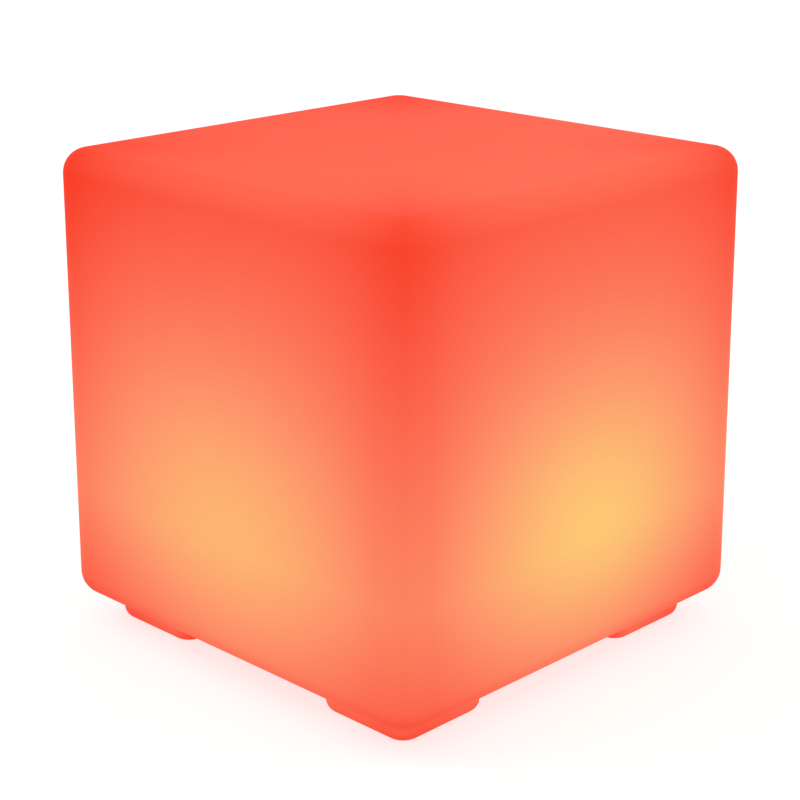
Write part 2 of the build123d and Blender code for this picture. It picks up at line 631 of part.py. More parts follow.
with BuildPart() as button_cap:
    with BuildSketch(Plane.XY.offset(BUTTON_FACE)):
        with Locations(BUTTON_SPOT):
            Circle(BUTTON_RADIUS)
    extrude(amount=BUTTON_BACK - BUTTON_FACE)
    fillet(button_cap.edges().group_by(Axis.Z)[0], BUTTON_ROUND)
    with BuildSketch(Plane.XY.offset(LIP_BOTTOM)):
        with Locations(BUTTON_SPOT):
            Circle(BUTTON_RADIUS + BUTTON_LIP)
    extrude(amount=BUTTON_LIP_THICK)
    with BuildSketch(Plane.XY.offset(RING_Z - GROOVE_WIDTH / 2)):
        with Locations(BUTTON_SPOT):
            Circle(BUTTON_RADIUS + BUTTON_PLAY)
            Circle(GROOVE_FLOOR, mode=Mode.SUBTRACT)
    extrude(amount=GROOVE_WIDTH, mode=Mode.SUBTRACT)
    with BuildSketch(Plane.XY.offset(BUTTON_BACK)):
        with Locations(BUTTON_SPOT):
            Rectangle(PLUNGER_WIDTH, PLUNGER_WIDTH)
    extrude(amount=-PLUNGER_GRIP, mode=Mode.SUBTRACT)
    dish_span = BUTTON_RADIUS - BUTTON_ROUND
    dish_radius = (dish_span**2 + BUTTON_DISH**2) / (2 * BUTTON_DISH)
    with Locations((BUTTON_X, PANEL_Y, BUTTON_FACE + BUTTON_DISH - dish_radius)):
        Sphere(dish_radius, mode=Mode.SUBTRACT)
save(button_cap, "button_cap")

with BuildPart() as button_o_ring:
    with Locations((BUTTON_X, PANEL_Y, RING_Z)):
        Torus(RING_MIDDLE, SEAL_SECTION)
save(button_o_ring, "button_o_ring")

with BuildPart() as switch_plunger:
    with BuildSketch(Plane.XY.offset(BUTTON_BACK - PLUNGER_GRIP)):
        with Locations(BUTTON_SPOT):
            Rectangle(PLUNGER_WIDTH, PLUNGER_WIDTH)
    extrude(amount=PLUNGER_GRIP + BUTTON_TRAVEL + SWITCH_GAP + PLUNGER_REACH)
save(switch_plunger, "switch_plunger")

with BuildPart() as push_switch:
    with BuildSketch(Plane.XY.offset(SWITCH_BOTTOM)):
        with Locations(BUTTON_SPOT):
            Rectangle(SWITCH_WIDTH, SWITCH_WIDTH)
    extrude(amount=SWITCH_HEIGHT)
    with BuildSketch(Plane.XY.offset(SWITCH_BOARD_BOTTOM)):
        with Locations(BUTTON_SPOT):
            with GridLocations(2 * SWITCH_PIN_PITCH, SWITCH_PIN_PITCH, 2, 3):
                Rectangle(SWITCH_PIN, SWITCH_PIN)
    extrude(amount=SWITCH_PIN_LENGTH)
    with BuildSketch(Plane.XY.offset(SWITCH_BOTTOM)):
        with Locations(BUTTON_SPOT):
            Rectangle(PLUNGER_WIDTH + 2 * PLUNGER_PLAY, PLUNGER_WIDTH + 2 * PLUNGER_PLAY)
    extrude(amount=PLUNGER_REACH + BUTTON_TRAVEL + SWITCH_GAP, mode=Mode.SUBTRACT)
save(push_switch, "push_switch")

with BuildPart() as switch_board:
    with BuildSketch(Plane.XY.offset(SWITCH_BOARD_BOTTOM)):
        with Locations((SWITCH_BOARD_X, PANEL_Y)):
            RectangleRounded(SWITCH_BOARD_LENGTH, SWITCH_BOARD_WIDTH, BOARD_CORNER)
        with Locations(BUTTON_SPOT):
            with GridLocations(2 * SWITCH_PIN_PITCH, SWITCH_PIN_PITCH, 2, 3):
                Rectangle(SWITCH_PIN + 2 * PLUNGER_PLAY, SWITCH_PIN + 2 * PLUNGER_PLAY, mode=Mode.SUBTRACT)
        with Locations(SWITCH_POSTS):
            Circle(M25 + SCREW_PLAY, mode=Mode.SUBTRACT)
    extrude(amount=BOARD_THICK)
save(switch_board, "switch_board")

board_screw = pan_screw(M25, BOARD_SCREW_LENGTH)
with BuildPart() as switch_board_screws:
    with Locations(*driven_down(SWITCH_POSTS, SWITCH_BOARD_TOP)):
        add(board_screw)
save(switch_board_screws, "switch_board_screws")

# ---------------------------------------------------------------------------------------------------
# Charge indicator
# ---------------------------------------------------------------------------------------------------

LED_BOTTOM = SWITCH_BOARD_BOTTOM - LED_LENGTH

with BuildPart() as indicator_lens:
    with BuildSketch(Plane.XY.offset(PANEL - LENS_HEAD_THICK)):
        with Locations(LENS_SPOT):
            Circle(LENS_HEAD_RADIUS)
    extrude(amount=LENS_HEAD_THICK)
    fillet(indicator_lens.edges().group_by(Axis.Z)[0], LENS_HEAD_ROUND)
    with BuildSketch(Plane.XY.offset(PANEL)):
        with Locations(LENS_SPOT):
            Circle(LENS_RADIUS)
    extrude(amount=LED_BOTTOM - LED_GAP - PANEL)
save(indicator_lens, "indicator_lens")

with BuildPart() as indicator_led:
    with BuildSketch(Plane.XY.offset(LED_BOTTOM)):
        with Locations(LENS_SPOT):
            Circle(LED_RADIUS)
    extrude(amount=LED_LENGTH)
    fillet(indicator_led.edges().group_by(Axis.Z)[0], LED_TIP_ROUND)
save(indicator_led, "indicator_led")

# ---------------------------------------------------------------------------------------------------
# Charging socket
# ---------------------------------------------------------------------------------------------------

BORE_END = JACK_MOUTH + JACK_BORE_DEPTH

with BuildPart() as charge_jack:
    with BuildSketch(Plane.XY.offset(JACK_MOUTH)):
        with Locations(JACK_SPOT):
            Circle(JACK_FLANGE_RADIUS)
    extrude(amount=JACK_FLANGE_THICK)
    fillet(charge_jack.edges().group_by(Axis.Z)[0], JACK_FLANGE_ROUND)
    with BuildSketch(Plane.XY.offset(PANEL)):
        with Locations(JACK_SPOT):
            Circle(JACK_BARREL_RADIUS)
    extrude(amount=JACK_BARREL_LENGTH)
    with BuildSketch(Plane.XY.offset(JACK_MOUTH)):
        with Locations(JACK_SPOT):
            Circle(JACK_BORE_RADIUS)
    extrude(amount=JACK_BORE_DEPTH, mode=Mode.SUBTRACT)
    with BuildSketch(Plane.XY.offset(BORE_END)):
        with Locations(JACK_SPOT):
            Circle(JACK_PIN_ROOT_RADIUS + THREAD_PLAY)
    extrude(amount=JACK_PIN_ROOT, mode=Mode.SUBTRACT)
save(charge_jack, "charge_jack")

with BuildPart() as jack_pin:
    with BuildSketch(Plane.XY.offset(JACK_MOUTH + JACK_PIN_SUNK)):
        with Locations(JACK_SPOT):
            Circle(JACK_PIN_RADIUS)
    extrude(amount=JACK_BORE_DEPTH - JACK_PIN_SUNK)
    fillet(jack_pin.edges().group_by(Axis.Z)[0], JACK_PIN_ROUND)
    with BuildSketch(Plane.XY.offset(BORE_END)):
        with Locations(JACK_SPOT):
            Circle(JACK_PIN_ROOT_RADIUS)
    extrude(amount=JACK_PIN_ROOT)
save(jack_pin, "jack_pin")

with BuildPart() as jack_washer:
    with BuildSketch(Plane.XY.offset(PANEL_INSIDE)):
        with Locations(JACK_SPOT):
            Circle(JACK_WASHER_RADIUS)
            Circle(JACK_BARREL_RADIUS + JACK_PLAY, mode=Mode.SUBTRACT)
    extrude(amount=JACK_WASHER_THICK)
save(jack_washer, "jack_washer")

with BuildPart() as jack_nut:
    with BuildSketch(Plane.XY.offset(PANEL_INSIDE + JACK_WASHER_THICK)):
        with Locations(JACK_SPOT):
            RegularPolygon(JACK_NUT_ACROSS / 2, 6, major_radius=False)
            Circle(JACK_BARREL_RADIUS + THREAD_PLAY, mode=Mode.SUBTRACT)
    extrude(amount=JACK_NUT_THICK)
save(jack_nut, "jack_nut")

TERMINALS = [(JACK_X + side * CONNECTOR_PITCH / 2, PANEL_Y - TERMINAL_Y) for side in (-1, 1)]

with BuildPart() as jack_terminals:
    with BuildSketch(Plane.XY.offset(JACK_BACK)):
        with Locations(TERMINALS):
            Rectangle(TERMINAL_WIDTH, TERMINAL_THICK)
    extrude(amount=TERMINAL_LENGTH)
save(jack_terminals, "jack_terminals")

# ---------------------------------------------------------------------------------------------------
# Silicone cover of the socket: the swinging part and the part that is pushed into the panel
# ---------------------------------------------------------------------------------------------------

with BuildPart() as port_cover:
    with BuildSketch(Plane.XY.offset(PORT_COVER_BOTTOM)):
        with Locations(JACK_SPOT):
            Circle(PORT_COVER_RADIUS)
        with Locations((JACK_X + PORT_COVER_RADIUS, PANEL_Y)):
            Circle(PORT_TAB_RADIUS)
    extrude(amount=PORT_COVER_THICK)
    fillet(port_cover.edges().group_by(Axis.Z)[0], PORT_COVER_ROUND)
    with BuildSketch(Plane.XY.offset(PORT_COVER_TOP)):
        with Locations(JACK_SPOT):
            Circle(PORT_PLUG_RADIUS)
            Circle(PORT_PLUG_RADIUS - PORT_PLUG_WALL, mode=Mode.SUBTRACT)
    extrude(amount=PORT_PLUG_LENGTH)
    with BuildSketch(Plane.XY.offset(HINGE_Z - STRAP_THICK / 2)):
        with Locations(((HINGE_X + JACK_X) / 2, PANEL_Y)):
            Rectangle(STRAP_REACH, STRAP_WIDTH)
    extrude(amount=STRAP_THICK)
    with BuildSketch(Plane.XZ.offset(-PANEL_Y - STRAP_WIDTH / 2)):
        with Locations((HINGE_X, HINGE_Z)):
            Circle(BEAD_RADIUS)
    extrude(amount=STRAP_WIDTH)
save(port_cover, "port_cover")

with BuildPart() as port_cover_anchor:
    with BuildSketch(Plane.XY.offset(HINGE_Z - STRAP_THICK / 2)):
        with Locations(ANCHOR_SPOT):
            Circle(ANCHOR_RADIUS)
    extrude(amount=PANEL - HINGE_Z + STRAP_THICK / 2)
    fillet(port_cover_anchor.edges().group_by(Axis.Z)[0], PORT_COVER_ROUND)
    with BuildSketch(Plane.XY.offset(HINGE_Z - STRAP_THICK / 2)):
        with Locations((HINGE_X - ANCHOR_REACH / 2, PANEL_Y)):
            Rectangle(ANCHOR_REACH, STRAP_WIDTH)
    extrude(amount=STRAP_THICK)
    with BuildSketch(Plane.XZ.offset(-PANEL_Y - STRAP_WIDTH / 2)):
        with Locations((HINGE_X, HINGE_Z)):
            Circle(BEAD_RADIUS + BEAD_PLAY)
    extrude(amount=STRAP_WIDTH, mode=Mode.SUBTRACT)
    with BuildSketch(Plane.XY.offset(PANEL)):
        with Locations(ANCHOR_SPOT):
            Circle(ANCHOR_STEM)
    extrude(amount=PANEL_THICK)
    with BuildSketch(Plane.XY.offset(PANEL_INSIDE)):
        with Locations(ANCHOR_SPOT):
            Circle(ANCHOR_STEM + ANCHOR_BULB)
    extrude(amount=ANCHOR_BULB_THICK, taper=ANCHOR_BULB_TAPER)
save(port_cover_anchor, "port_cover_anchor")

# ---------------------------------------------------------------------------------------------------
# Battery: cells, saddle, nickel strips, protection board and hold-down straps
# ---------------------------------------------------------------------------------------------------

with BuildPart() as battery_cells:
    for cell_y, sense in zip(CELL_YS, (1, -1)):
        can_length = CELL_LENGTH - CELL_NUB_LENGTH
        can_end = sense * (CELL_END - CELL_NUB_LENGTH)
        with BuildSketch(Plane.YZ.offset(-sense * CELL_END)):
            with Locations((cell_y, CELL_Z)):
                Circle(CELL_RADIUS)
        extrude(amount=sense * can_length)
        with BuildSketch(Plane.YZ.offset(can_end)):
            with Locations((cell_y, CELL_Z)):
                Circle(CELL_NUB_RADIUS)
        extrude(amount=sense * CELL_NUB_LENGTH)
    can_rims = battery_cells.edges().filter_by(GeomType.CIRCLE).filter_by(
        lambda edge: abs(edge.radius - CELL_RADIUS) < 0.01
    )
    fillet(can_rims, CELL_ROUND)
save(battery_cells, "battery_cells")

with BuildPart() as battery_saddle:
    with BuildSketch(Plane.XY.offset(CUP_FLOOR)):
        with Locations((0, BATTERY_Y)):
            RectangleRounded(SADDLE_LENGTH, SADDLE_WIDTH, SADDLE_CORNER)
    extrude(amount=SADDLE_FLOOR + SADDLE_RISE)
    with BuildSketch(Plane.YZ.offset(-CELL_END - TAB_THICK - SADDLE_END_GAP)):
        for cell_y in CELL_YS:
            with Locations((cell_y, CELL_Z)):
                Circle(CELL_RADIUS + CELL_PLAY)
    extrude(amount=CELL_LENGTH + 2 * (TAB_THICK + SADDLE_END_GAP), mode=Mode.SUBTRACT)
    # the ridge between the troughs stops short of the nickel strips
    tab_slot = TAB_THICK + SADDLE_END_GAP
    with BuildSketch(Plane.XY.offset(CELL_Z - TAB_WIDTH / 2 - SADDLE_END_GAP)):
        with Locations((0, BATTERY_Y)):
            with GridLocations(CELL_LENGTH + tab_slot, 0, 2, 1):
                Rectangle(tab_slot, CELL_PITCH)
    extrude(amount=TAB_WIDTH, mode=Mode.SUBTRACT)
save(battery_saddle, "battery_saddle")

ARM_YS = [BATTERY_Y - GUARD_WIDTH / 4, BATTERY_Y + GUARD_WIDTH / 4]
TAB_BACK = -CELL_END - TAB_THICK  # outer face of the two tabs at the -X end
ARM_END = -GUARD_LENGTH / 2 + GUARD_LAP

with BuildPart() as battery_tabs:
    # the link at +X joins the two cells
    with BuildSketch(Plane.YZ.offset(CELL_END)):
        with Locations((BATTERY_Y, CELL_Z)):
            Rectangle(CELL_PITCH + TAB_WIDTH, TAB_WIDTH)
    extrude(amount=TAB_THICK)
    # at -X one strip climbs from each cell into the valley and lies along it to the protection board
    for cell_y, arm_y, sense in zip(CELL_YS, ARM_YS, (1, -1)):
        inner = arm_y + sense * TAB_ARM / 2
        outer = arm_y - sense * TAB_ARM / 2
        foot = cell_y - sense * TAB_WIDTH / 2
        with BuildSketch(Plane.YZ.offset(TAB_BACK)):
            with BuildLine():
                Polyline(
                    (foot, CELL_Z - TAB_WIDTH / 2),
                    (inner, CELL_Z - TAB_WIDTH / 2),
                    (inner, GUARD_TOP + TAB_THICK),
                    (outer, GUARD_TOP + TAB_THICK),
                    (outer, CELL_Z + TAB_WIDTH / 2),
                    (foot, CELL_Z + TAB_WIDTH / 2),
                    close=True,
                )
            make_face()
        extrude(amount=TAB_THICK)
        with BuildSketch(Plane.XY.offset(GUARD_TOP)):
            with Locations(((TAB_BACK + ARM_END) / 2, arm_y)):
                Rectangle(ARM_END - TAB_BACK, TAB_ARM)
        extrude(amount=TAB_THICK)
save(battery_tabs, "battery_tabs")

with BuildPart() as battery_guard_board:
    with BuildSketch(Plane.XY.offset(GUARD_BOTTOM)):
        with Locations((0, BATTERY_Y)):
            Rectangle(GUARD_LENGTH, GUARD_WIDTH)
    extrude(amount=GUARD_THICK)
save(battery_guard_board, "battery_guard_board")

with BuildPart() as battery_straps:
    for strap_x in (-STRAP_X, STRAP_X):
        with BuildSketch(Plane.XY.offset(HOLD_BOTTOM)):
            with Locations((strap_x, BATTERY_Y)):
                SlotCenterToCenter(2 * HOLD_SPREAD, HOLD_WIDTH, rotation=90)
            with Locations([spot for spot in HOLD_POSTS if spot[0] == strap_x]):
                Circle(M3 + SCREW_PLAY, mode=Mode.SUBTRACT)
        extrude(amount=HOLD_THICK)
save(battery_straps, "battery_straps")

strap_screw = pan_screw(M3, STRAP_SCREW_LENGTH)
with BuildPart() as strap_screws:
    with Locations(*driven_down(HOLD_POSTS, HOLD_TOP)):
        add(strap_screw)
save(strap_screws, "strap_screws")

# ---------------------------------------------------------------------------------------------------
# Control board and what is soldered to it
# ---------------------------------------------------------------------------------------------------

with BuildPart() as control_board:
    with BuildSketch(Plane.XY.offset(BOARD_BOTTOM)):
        RectangleRounded(BOARD_LENGTH, BOARD_WIDTH, BOARD_CORNER)
        with GridLocations(2 * BOARD_POST_X, 2 * BOARD_POST_Y, 2, 2):
            Circle(M25 + SCREW_PLAY, mode=Mode.SUBTRACT)
    extrude(amount=BOARD_THICK)
save(control_board, "control_board")

BOARD_POSTS = [(sx * BOARD_POST_X, sy * BOARD_POST_Y) for sx in (-1, 1) for sy in (-1, 1)]
with BuildPart() as board_screws:
    with Locations(*driven_down(BOARD_POSTS, BOARD_TOP)):
        add(board_screw)
save(board_screws, "board_screws")

# place, length, width and height of each chip: controller, charger, and a driver for each colour
CHIPS = [
    ((-18, 4), 10.0, 6.0, 1.8),
    ((-24, -7), 5.0, 5.0, 1.0),
    ((14, -6), 6.6, 6.2, 2.3),
    ((14, 4), 6.6, 6.2, 2.3),
    ((24, 4), 6.6, 6.2, 2.3),
]
with BuildPart() as board_chips:
    for place, length, width, height in CHIPS:
        with BuildSketch(Plane.XY.offset(BOARD_TOP)):
            with Locations(place):
                Rectangle(length, width)
        extrude(amount=height)
save(board_chips, "board_chips")

with BuildPart() as board_capacitors:
    with BuildSketch(Plane.XY.offset(BOARD_TOP)):
        with Locations((BOARD_LENGTH / 2 - CAPACITOR_INSET, 0)):
            with GridLocations(0, CAPACITOR_SPREAD, 1, 2):
                Circle(CAPACITOR_RADIUS)
    extrude(amount=CAPACITOR_HEIGHT)
    fillet(board_capacitors.edges().group_by(Axis.Z)[-1], CAPACITOR_ROUND)
save(board_capacitors, "board_capacitors")

with BuildPart() as board_inductor:
    with BuildSketch(Plane.XY.offset(BOARD_TOP)):
        with Locations((INDUCTOR_INSET - BOARD_LENGTH / 2, INDUCTOR_Y)):
            RectangleRounded(INDUCTOR_SIZE, INDUCTOR_SIZE, INDUCTOR_CORNER)
    extrude(amount=INDUCTOR_HEIGHT)
save(board_inductor, "board_inductor")

with BuildPart() as board_connectors:
    with BuildSketch(Plane.XY.offset(BOARD_TOP)):
        with Locations(JACK_PLUG, SWITCH_PLUG, BATTERY_PLUG):
            Rectangle(CONNECTOR_WIDTH, CONNECTOR_DEPTH)
    extrude(amount=CONNECTOR_HEIGHT)
    with BuildSketch(Plane.XY.offset(BOARD_TOP)):
        Rectangle(LAMP_CONNECTOR_LENGTH, CONNECTOR_DEPTH)
    extrude(amount=LAMP_CONNECTOR_HEIGHT)
save(board_connectors, "board_connectors")

# ---------------------------------------------------------------------------------------------------
# Deck, gaskets and lamp post
# ---------------------------------------------------------------------------------------------------

with BuildPart() as deck_gasket:
    with BuildSketch(Plane.XY.offset(RIM)):
        Circle(CUP_RADIUS)
        Circle(CUP_INNER, mode=Mode.SUBTRACT)
        with PolarLocations(RIM_SCREW_CIRCLE, RIM_SCREWS):
            Circle(RIM_BOSS_RADIUS)
            Circle(M3 + SCREW_PLAY, mode=Mode.SUBTRACT)
    extrude(amount=DECK_GASKET_THICK)
save(deck_gasket, "deck_gasket")

with BuildPart() as lamp_deck:
    with BuildSketch(Plane.XY.offset(DECK_BOTTOM)):
        Circle(CUP_RADIUS)
        with PolarLocations(RIM_SCREW_CIRCLE, RIM_SCREWS):
            Circle(M3 + SCREW_PLAY, mode=Mode.SUBTRACT)
        with PolarLocations(PORT_CIRCLE, PORT_COUNT, start_angle=FIRST_FLAT):
            Circle(M3 + SCREW_PLAY, mode=Mode.SUBTRACT)
    extrude(amount=DECK_THICK)
    with BuildSketch(Plane.XY.offset(DECK_TOP)):
        RegularPolygon(LAMP_INSIDE - SPIGOT_PLAY, LAMP_SIDES, major_radius=False)
        with PolarLocations(PORT_CIRCLE, PORT_COUNT, start_angle=FIRST_FLAT):
            Circle(PORT_RADIUS + SPIGOT_PLAY, mode=Mode.SUBTRACT)
    extrude(amount=SPIGOT_HEIGHT)
    with BuildSketch(Plane.XY.offset(DECK_BOTTOM)):
        Circle(LEAD_HOLE)
    extrude(amount=DECK_THICK + SPIGOT_HEIGHT, mode=Mode.SUBTRACT)
save(lamp_deck, "lamp_deck")

with BuildPart() as lamp_post:
    with BuildSketch(Plane.XY.offset(DECK_TOP)):
        RegularPolygon(LAMP_FLAT, LAMP_SIDES, major_radius=False)
        RegularPolygon(LAMP_INSIDE, LAMP_SIDES, major_radius=False, mode=Mode.SUBTRACT)
        with PolarLocations(PORT_CIRCLE, PORT_COUNT, start_angle=FIRST_FLAT):
            Circle(PORT_RADIUS)
            Circle(M3 + THREAD_PLAY, mode=Mode.SUBTRACT)
    extrude(amount=LAMP_POST_HEIGHT)
save(lamp_post, "lamp_post")

post_screw = pan_screw(M3, POST_SCREW_LENGTH)
with BuildPart() as post_screws:
    with Locations((0, 0, DECK_BOTTOM)):
        with PolarLocations(PORT_CIRCLE, PORT_COUNT, start_angle=FIRST_FLAT):
            add(post_screw)
save(post_screws, "post_screws")

STRIP_BOTTOM = DECK_TOP + STRIP_CLEAR
CHIP_MIDDLE = (STRIP_BOTTOM + POST_TOP) / 2
with BuildPart() as light_strips:
    with BuildSketch(Plane.XY.offset(STRIP_BOTTOM)):
        with PolarLocations(LAMP_FLAT + STRIP_THICK / 2, LAMP_SIDES, start_angle=FIRST_FLAT):
            Rectangle(STRIP_THICK, STRIP_WIDTH)
    extrude(amount=POST_TOP - STRIP_BOTTOM)
save(light_strips, "light_strips")

with BuildPart() as light_chips:
    for step in range(CHIP_COUNT):
        chip_z = CHIP_MIDDLE + (step - (CHIP_COUNT - 1) / 2) * CHIP_PITCH
        with BuildSketch(Plane.XY.offset(chip_z - CHIP_SIZE / 2)):
            with PolarLocations(HUB_FLAT + CHIP_THICK / 2, LAMP_SIDES, start_angle=FIRST_FLAT):
                Rectangle(CHIP_THICK, CHIP_SIZE)
        extrude(amount=CHIP_SIZE)
save(light_chips, "light_chips")

with BuildPart() as hub_board:
    with BuildSketch(Plane.XY.offset(POST_TOP)):
        RegularPolygon(HUB_FLAT, LAMP_SIDES, major_radius=False)
        with PolarLocations(PORT_CIRCLE, PORT_COUNT, start_angle=FIRST_FLAT):
            Circle(M3 + SCREW_PLAY, mode=Mode.SUBTRACT)
    extrude(amount=HUB_THICK)
save(hub_board, "hub_board")

with BuildPart() as post_cap:
    with BuildSketch(Plane.XY.offset(HUB_TOP)):
        RegularPolygon(HUB_FLAT, LAMP_SIDES, major_radius=False)
    extrude(amount=CAP_HEIGHT)
    fillet(post_cap.edges().group_by(Axis.Z)[-1], CAP_ROUND)
    with BuildSketch(Plane.XY.offset(HUB_TOP)):
        RegularPolygon(HUB_FLAT - CAP_WALL, LAMP_SIDES, major_radius=False)
        with PolarLocations(PORT_CIRCLE, PORT_COUNT, start_angle=FIRST_FLAT):
            Circle(PORT_RADIUS, mode=Mode.SUBTRACT)
    extrude(amount=CAP_HEIGHT - CAP_WALL, mode=Mode.SUBTRACT)
    with BuildSketch(Plane.XY.offset(HUB_TOP)):
        with PolarLocations(PORT_CIRCLE, PORT_COUNT, start_angle=FIRST_FLAT):
            Circle(M3 + SCREW_PLAY)
    extrude(amount=CAP_HEIGHT, mode=Mode.SUBTRACT)
save(post_cap, "post_cap")

cap_screw = pan_screw(M3, CAP_SCREW_LENGTH)
with BuildPart() as cap_screws:
    with Locations(*driven_down(around(PORT_CIRCLE, PORT_COUNT, FIRST_FLAT), CAP_TOP)):
        add(cap_screw)
save(cap_screws, "cap_screws")

# ---------------------------------------------------------------------------------------------------
# Frosted cover over the lamp post
# ---------------------------------------------------------------------------------------------------

with BuildPart() as cover_gasket:
    with BuildSketch(Plane.XY.offset(DECK_TOP)):
        Circle(LAMP_COVER_FLANGE_RADIUS)
        Circle(LAMP_COVER_RADIUS - LAMP_COVER_WALL, mode=Mode.SUBTRACT)
        with PolarLocations(RIM_SCREW_CIRCLE, RIM_SCREWS):
            Circle(M3 + SCREW_PLAY, mode=Mode.SUBTRACT)
    extrude(amount=COVER_GASKET_THICK)
save(cover_gasket, "cover_gasket")


def cover_form(skin):
    """The cover's solid form, skin millimetres inside its outer surface."""
    with BuildPart() as form:
        with BuildSketch(Plane.XY.offset(LAMP_COVER_BOTTOM)):
            Circle(LAMP_COVER_RADIUS - skin)
        extrude(amount=LAMP_COVER_HEIGHT - skin, taper=LAMP_COVER_DRAFT)
        fillet(form.edges().group_by(Axis.Z)[-1], LAMP_COVER_ROUND - skin)
    return form.part


cover_outside = cover_form(0)
cover_inside = cover_form(LAMP_COVER_WALL)

with BuildPart() as lamp_cover:
    add(cover_outside)
    with BuildSketch(Plane.XY.offset(LAMP_COVER_BOTTOM)):
        Circle(LAMP_COVER_FLANGE_RADIUS)
        with PolarLocations(RIM_SCREW_CIRCLE, RIM_SCREWS):
            Circle(M3 + SCREW_PLAY, mode=Mode.SUBTRACT)
    extrude(amount=LAMP_COVER_FLANGE_THICK)
    add(cover_inside, mode=Mode.SUBTRACT)
save(lamp_cover, "lamp_cover")

cover_screw = pan_screw(M3, COVER_SCREW_LENGTH)
with BuildPart() as cover_screws:
    with Locations(*driven_down(around(RIM_SCREW_CIRCLE, RIM_SCREWS), LAMP_COVER_FLANGE_TOP)):
        add(cover_screw)
save(cover_screws, "cover_screws")

# ---------------------------------------------------------------------------------------------------
# Wiring inside the cup. Each wire ends square on a board, a terminal or a connector.
# ---------------------------------------------------------------------------------------------------


def bend_radii(route):
    """The largest even arcs that a route's corners allow."""
    points = [Vector(*point) for point in route]
    runs = [after - before for before, after in zip(points, points[1:])]
    radii = []
    for before, after in zip(runs, runs[1:]):
        turn = radians(before.get_angle(after))
        radii.append(0.45 * min(before.length, after.length) / tan(turn / 2))
    return radii


def wire(route, name):
    """A round wire along a route of straight runs joined by arcs."""
    radii = bend_radii(route)
    print(name, "bend radii", [round(radius, 1) for radius in radii])
    with BuildPart() as run:
        with BuildLine():
            path = FilletPolyline(*route, radius=radii)
        with BuildSketch(Plane(origin=route[0], z_dir=path % 0)):
            Circle(WIRE_RADIUS)
        sweep(path=path)
    return run.part


PIN_XS = (-CONNECTOR_PITCH / 2, CONNECTOR_PITCH / 2)

lead_level = (HOLD_TOP + BOARD_BOTTOM) / 2  # the battery's leads pass between the straps and the board
lead_swing = BOARD_EDGE + BATTERY_LEAD_SWING
battery_routes = []
for pin_x in PIN_XS:
    lead_x = BATTERY_PLUG_X + pin_x
    battery_routes.append(
        [
            (lead_x, BATTERY_Y, GUARD_TOP),
            (lead_x, BATTERY_Y, lead_level),
            (lead_x, lead_swing, lead_level),
            (lead_x, lead_swing, PLUG_Z),
            (lead_x, BOARD_MOUTH, PLUG_Z),
        ]
    )
battery_wires = [wire(route, "battery lead") for route in battery_routes]
with BuildPart() as battery_leads:
    for piece in battery_wires:
        add(piece)
save(battery_leads, "battery_leads")

switch_routes = []
for pin_x in PIN_XS:
    lead_x = SWITCH_PLUG_X + pin_x
    switch_routes.append(
        [
            (lead_x, PANEL_Y - SWITCH_LEAD_Y, SWITCH_BOARD_TOP),
            (lead_x, PANEL_Y - SWITCH_LEAD_Y, PLUG_Z),
            (lead_x, -BOARD_MOUTH, PLUG_Z),
        ]
    )
switch_wires = [wire(route, "switch lead") for route in switch_routes]
with BuildPart() as switch_leads:
    for piece in switch_wires:
        add(piece)
save(switch_leads, "switch_leads")

jack_routes = []
for pin_x, terminal in zip(PIN_XS, TERMINALS):
    jack_routes.append(
        [
            (terminal[0], terminal[1], JACK_BACK + TERMINAL_LENGTH),
            (terminal[0], terminal[1], PLUG_Z),
            (JACK_X + pin_x, -BOARD_MOUTH, PLUG_Z),
        ]
    )
jack_wires = [wire(route, "socket lead") for route in jack_routes]
with BuildPart() as jack_leads:
    for piece in jack_wires:
        add(piece)
save(jack_leads, "jack_leads")

lamp_routes = []
for place in (-1.5, -0.5, 0.5, 1.5):
    lead_x = place * CONNECTOR_PITCH
    lamp_routes.append(
        [
            (lead_x, 0, BOARD_TOP + LAMP_CONNECTOR_HEIGHT),
            (lead_x, 0, DECK_TOP + LAMP_POST_HEIGHT / 12),
            (lead_x + LAMP_LEAD_SWAY / 2, LAMP_LEAD_SWAY, DECK_TOP + LAMP_POST_HEIGHT / 3),
            (lead_x - LAMP_LEAD_SWAY / 2, -LAMP_LEAD_SWAY, DECK_TOP + LAMP_POST_HEIGHT * 2 / 3),
            (lead_x, 0, DECK_TOP + LAMP_POST_HEIGHT * 5 / 6),
            (lead_x, 0, POST_TOP),
        ]
    )
lamp_wires = [wire(route, "lamp lead") for route in lamp_routes]
with BuildPart() as lamp_leads:
    for piece in lamp_wires:
        add(piece)
save(lamp_leads, "lamp_leads")
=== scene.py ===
# %% [markdown]
# # A garden cube that glows red
#
# The object is a stool-high cube of polyethylene with a lamp inside it. Nearly all of what we see is its
# skin, and the skin shows light that comes through it, not light that falls on it. So this lesson spends
# its care on one material: how bright the skin is at each point, and which colour that brightness has.
# The pieces come from the measured frame at their real size; Blender only dresses them.

# %% Load the frame
import math

import bpy
from mathutils import Matrix, Vector


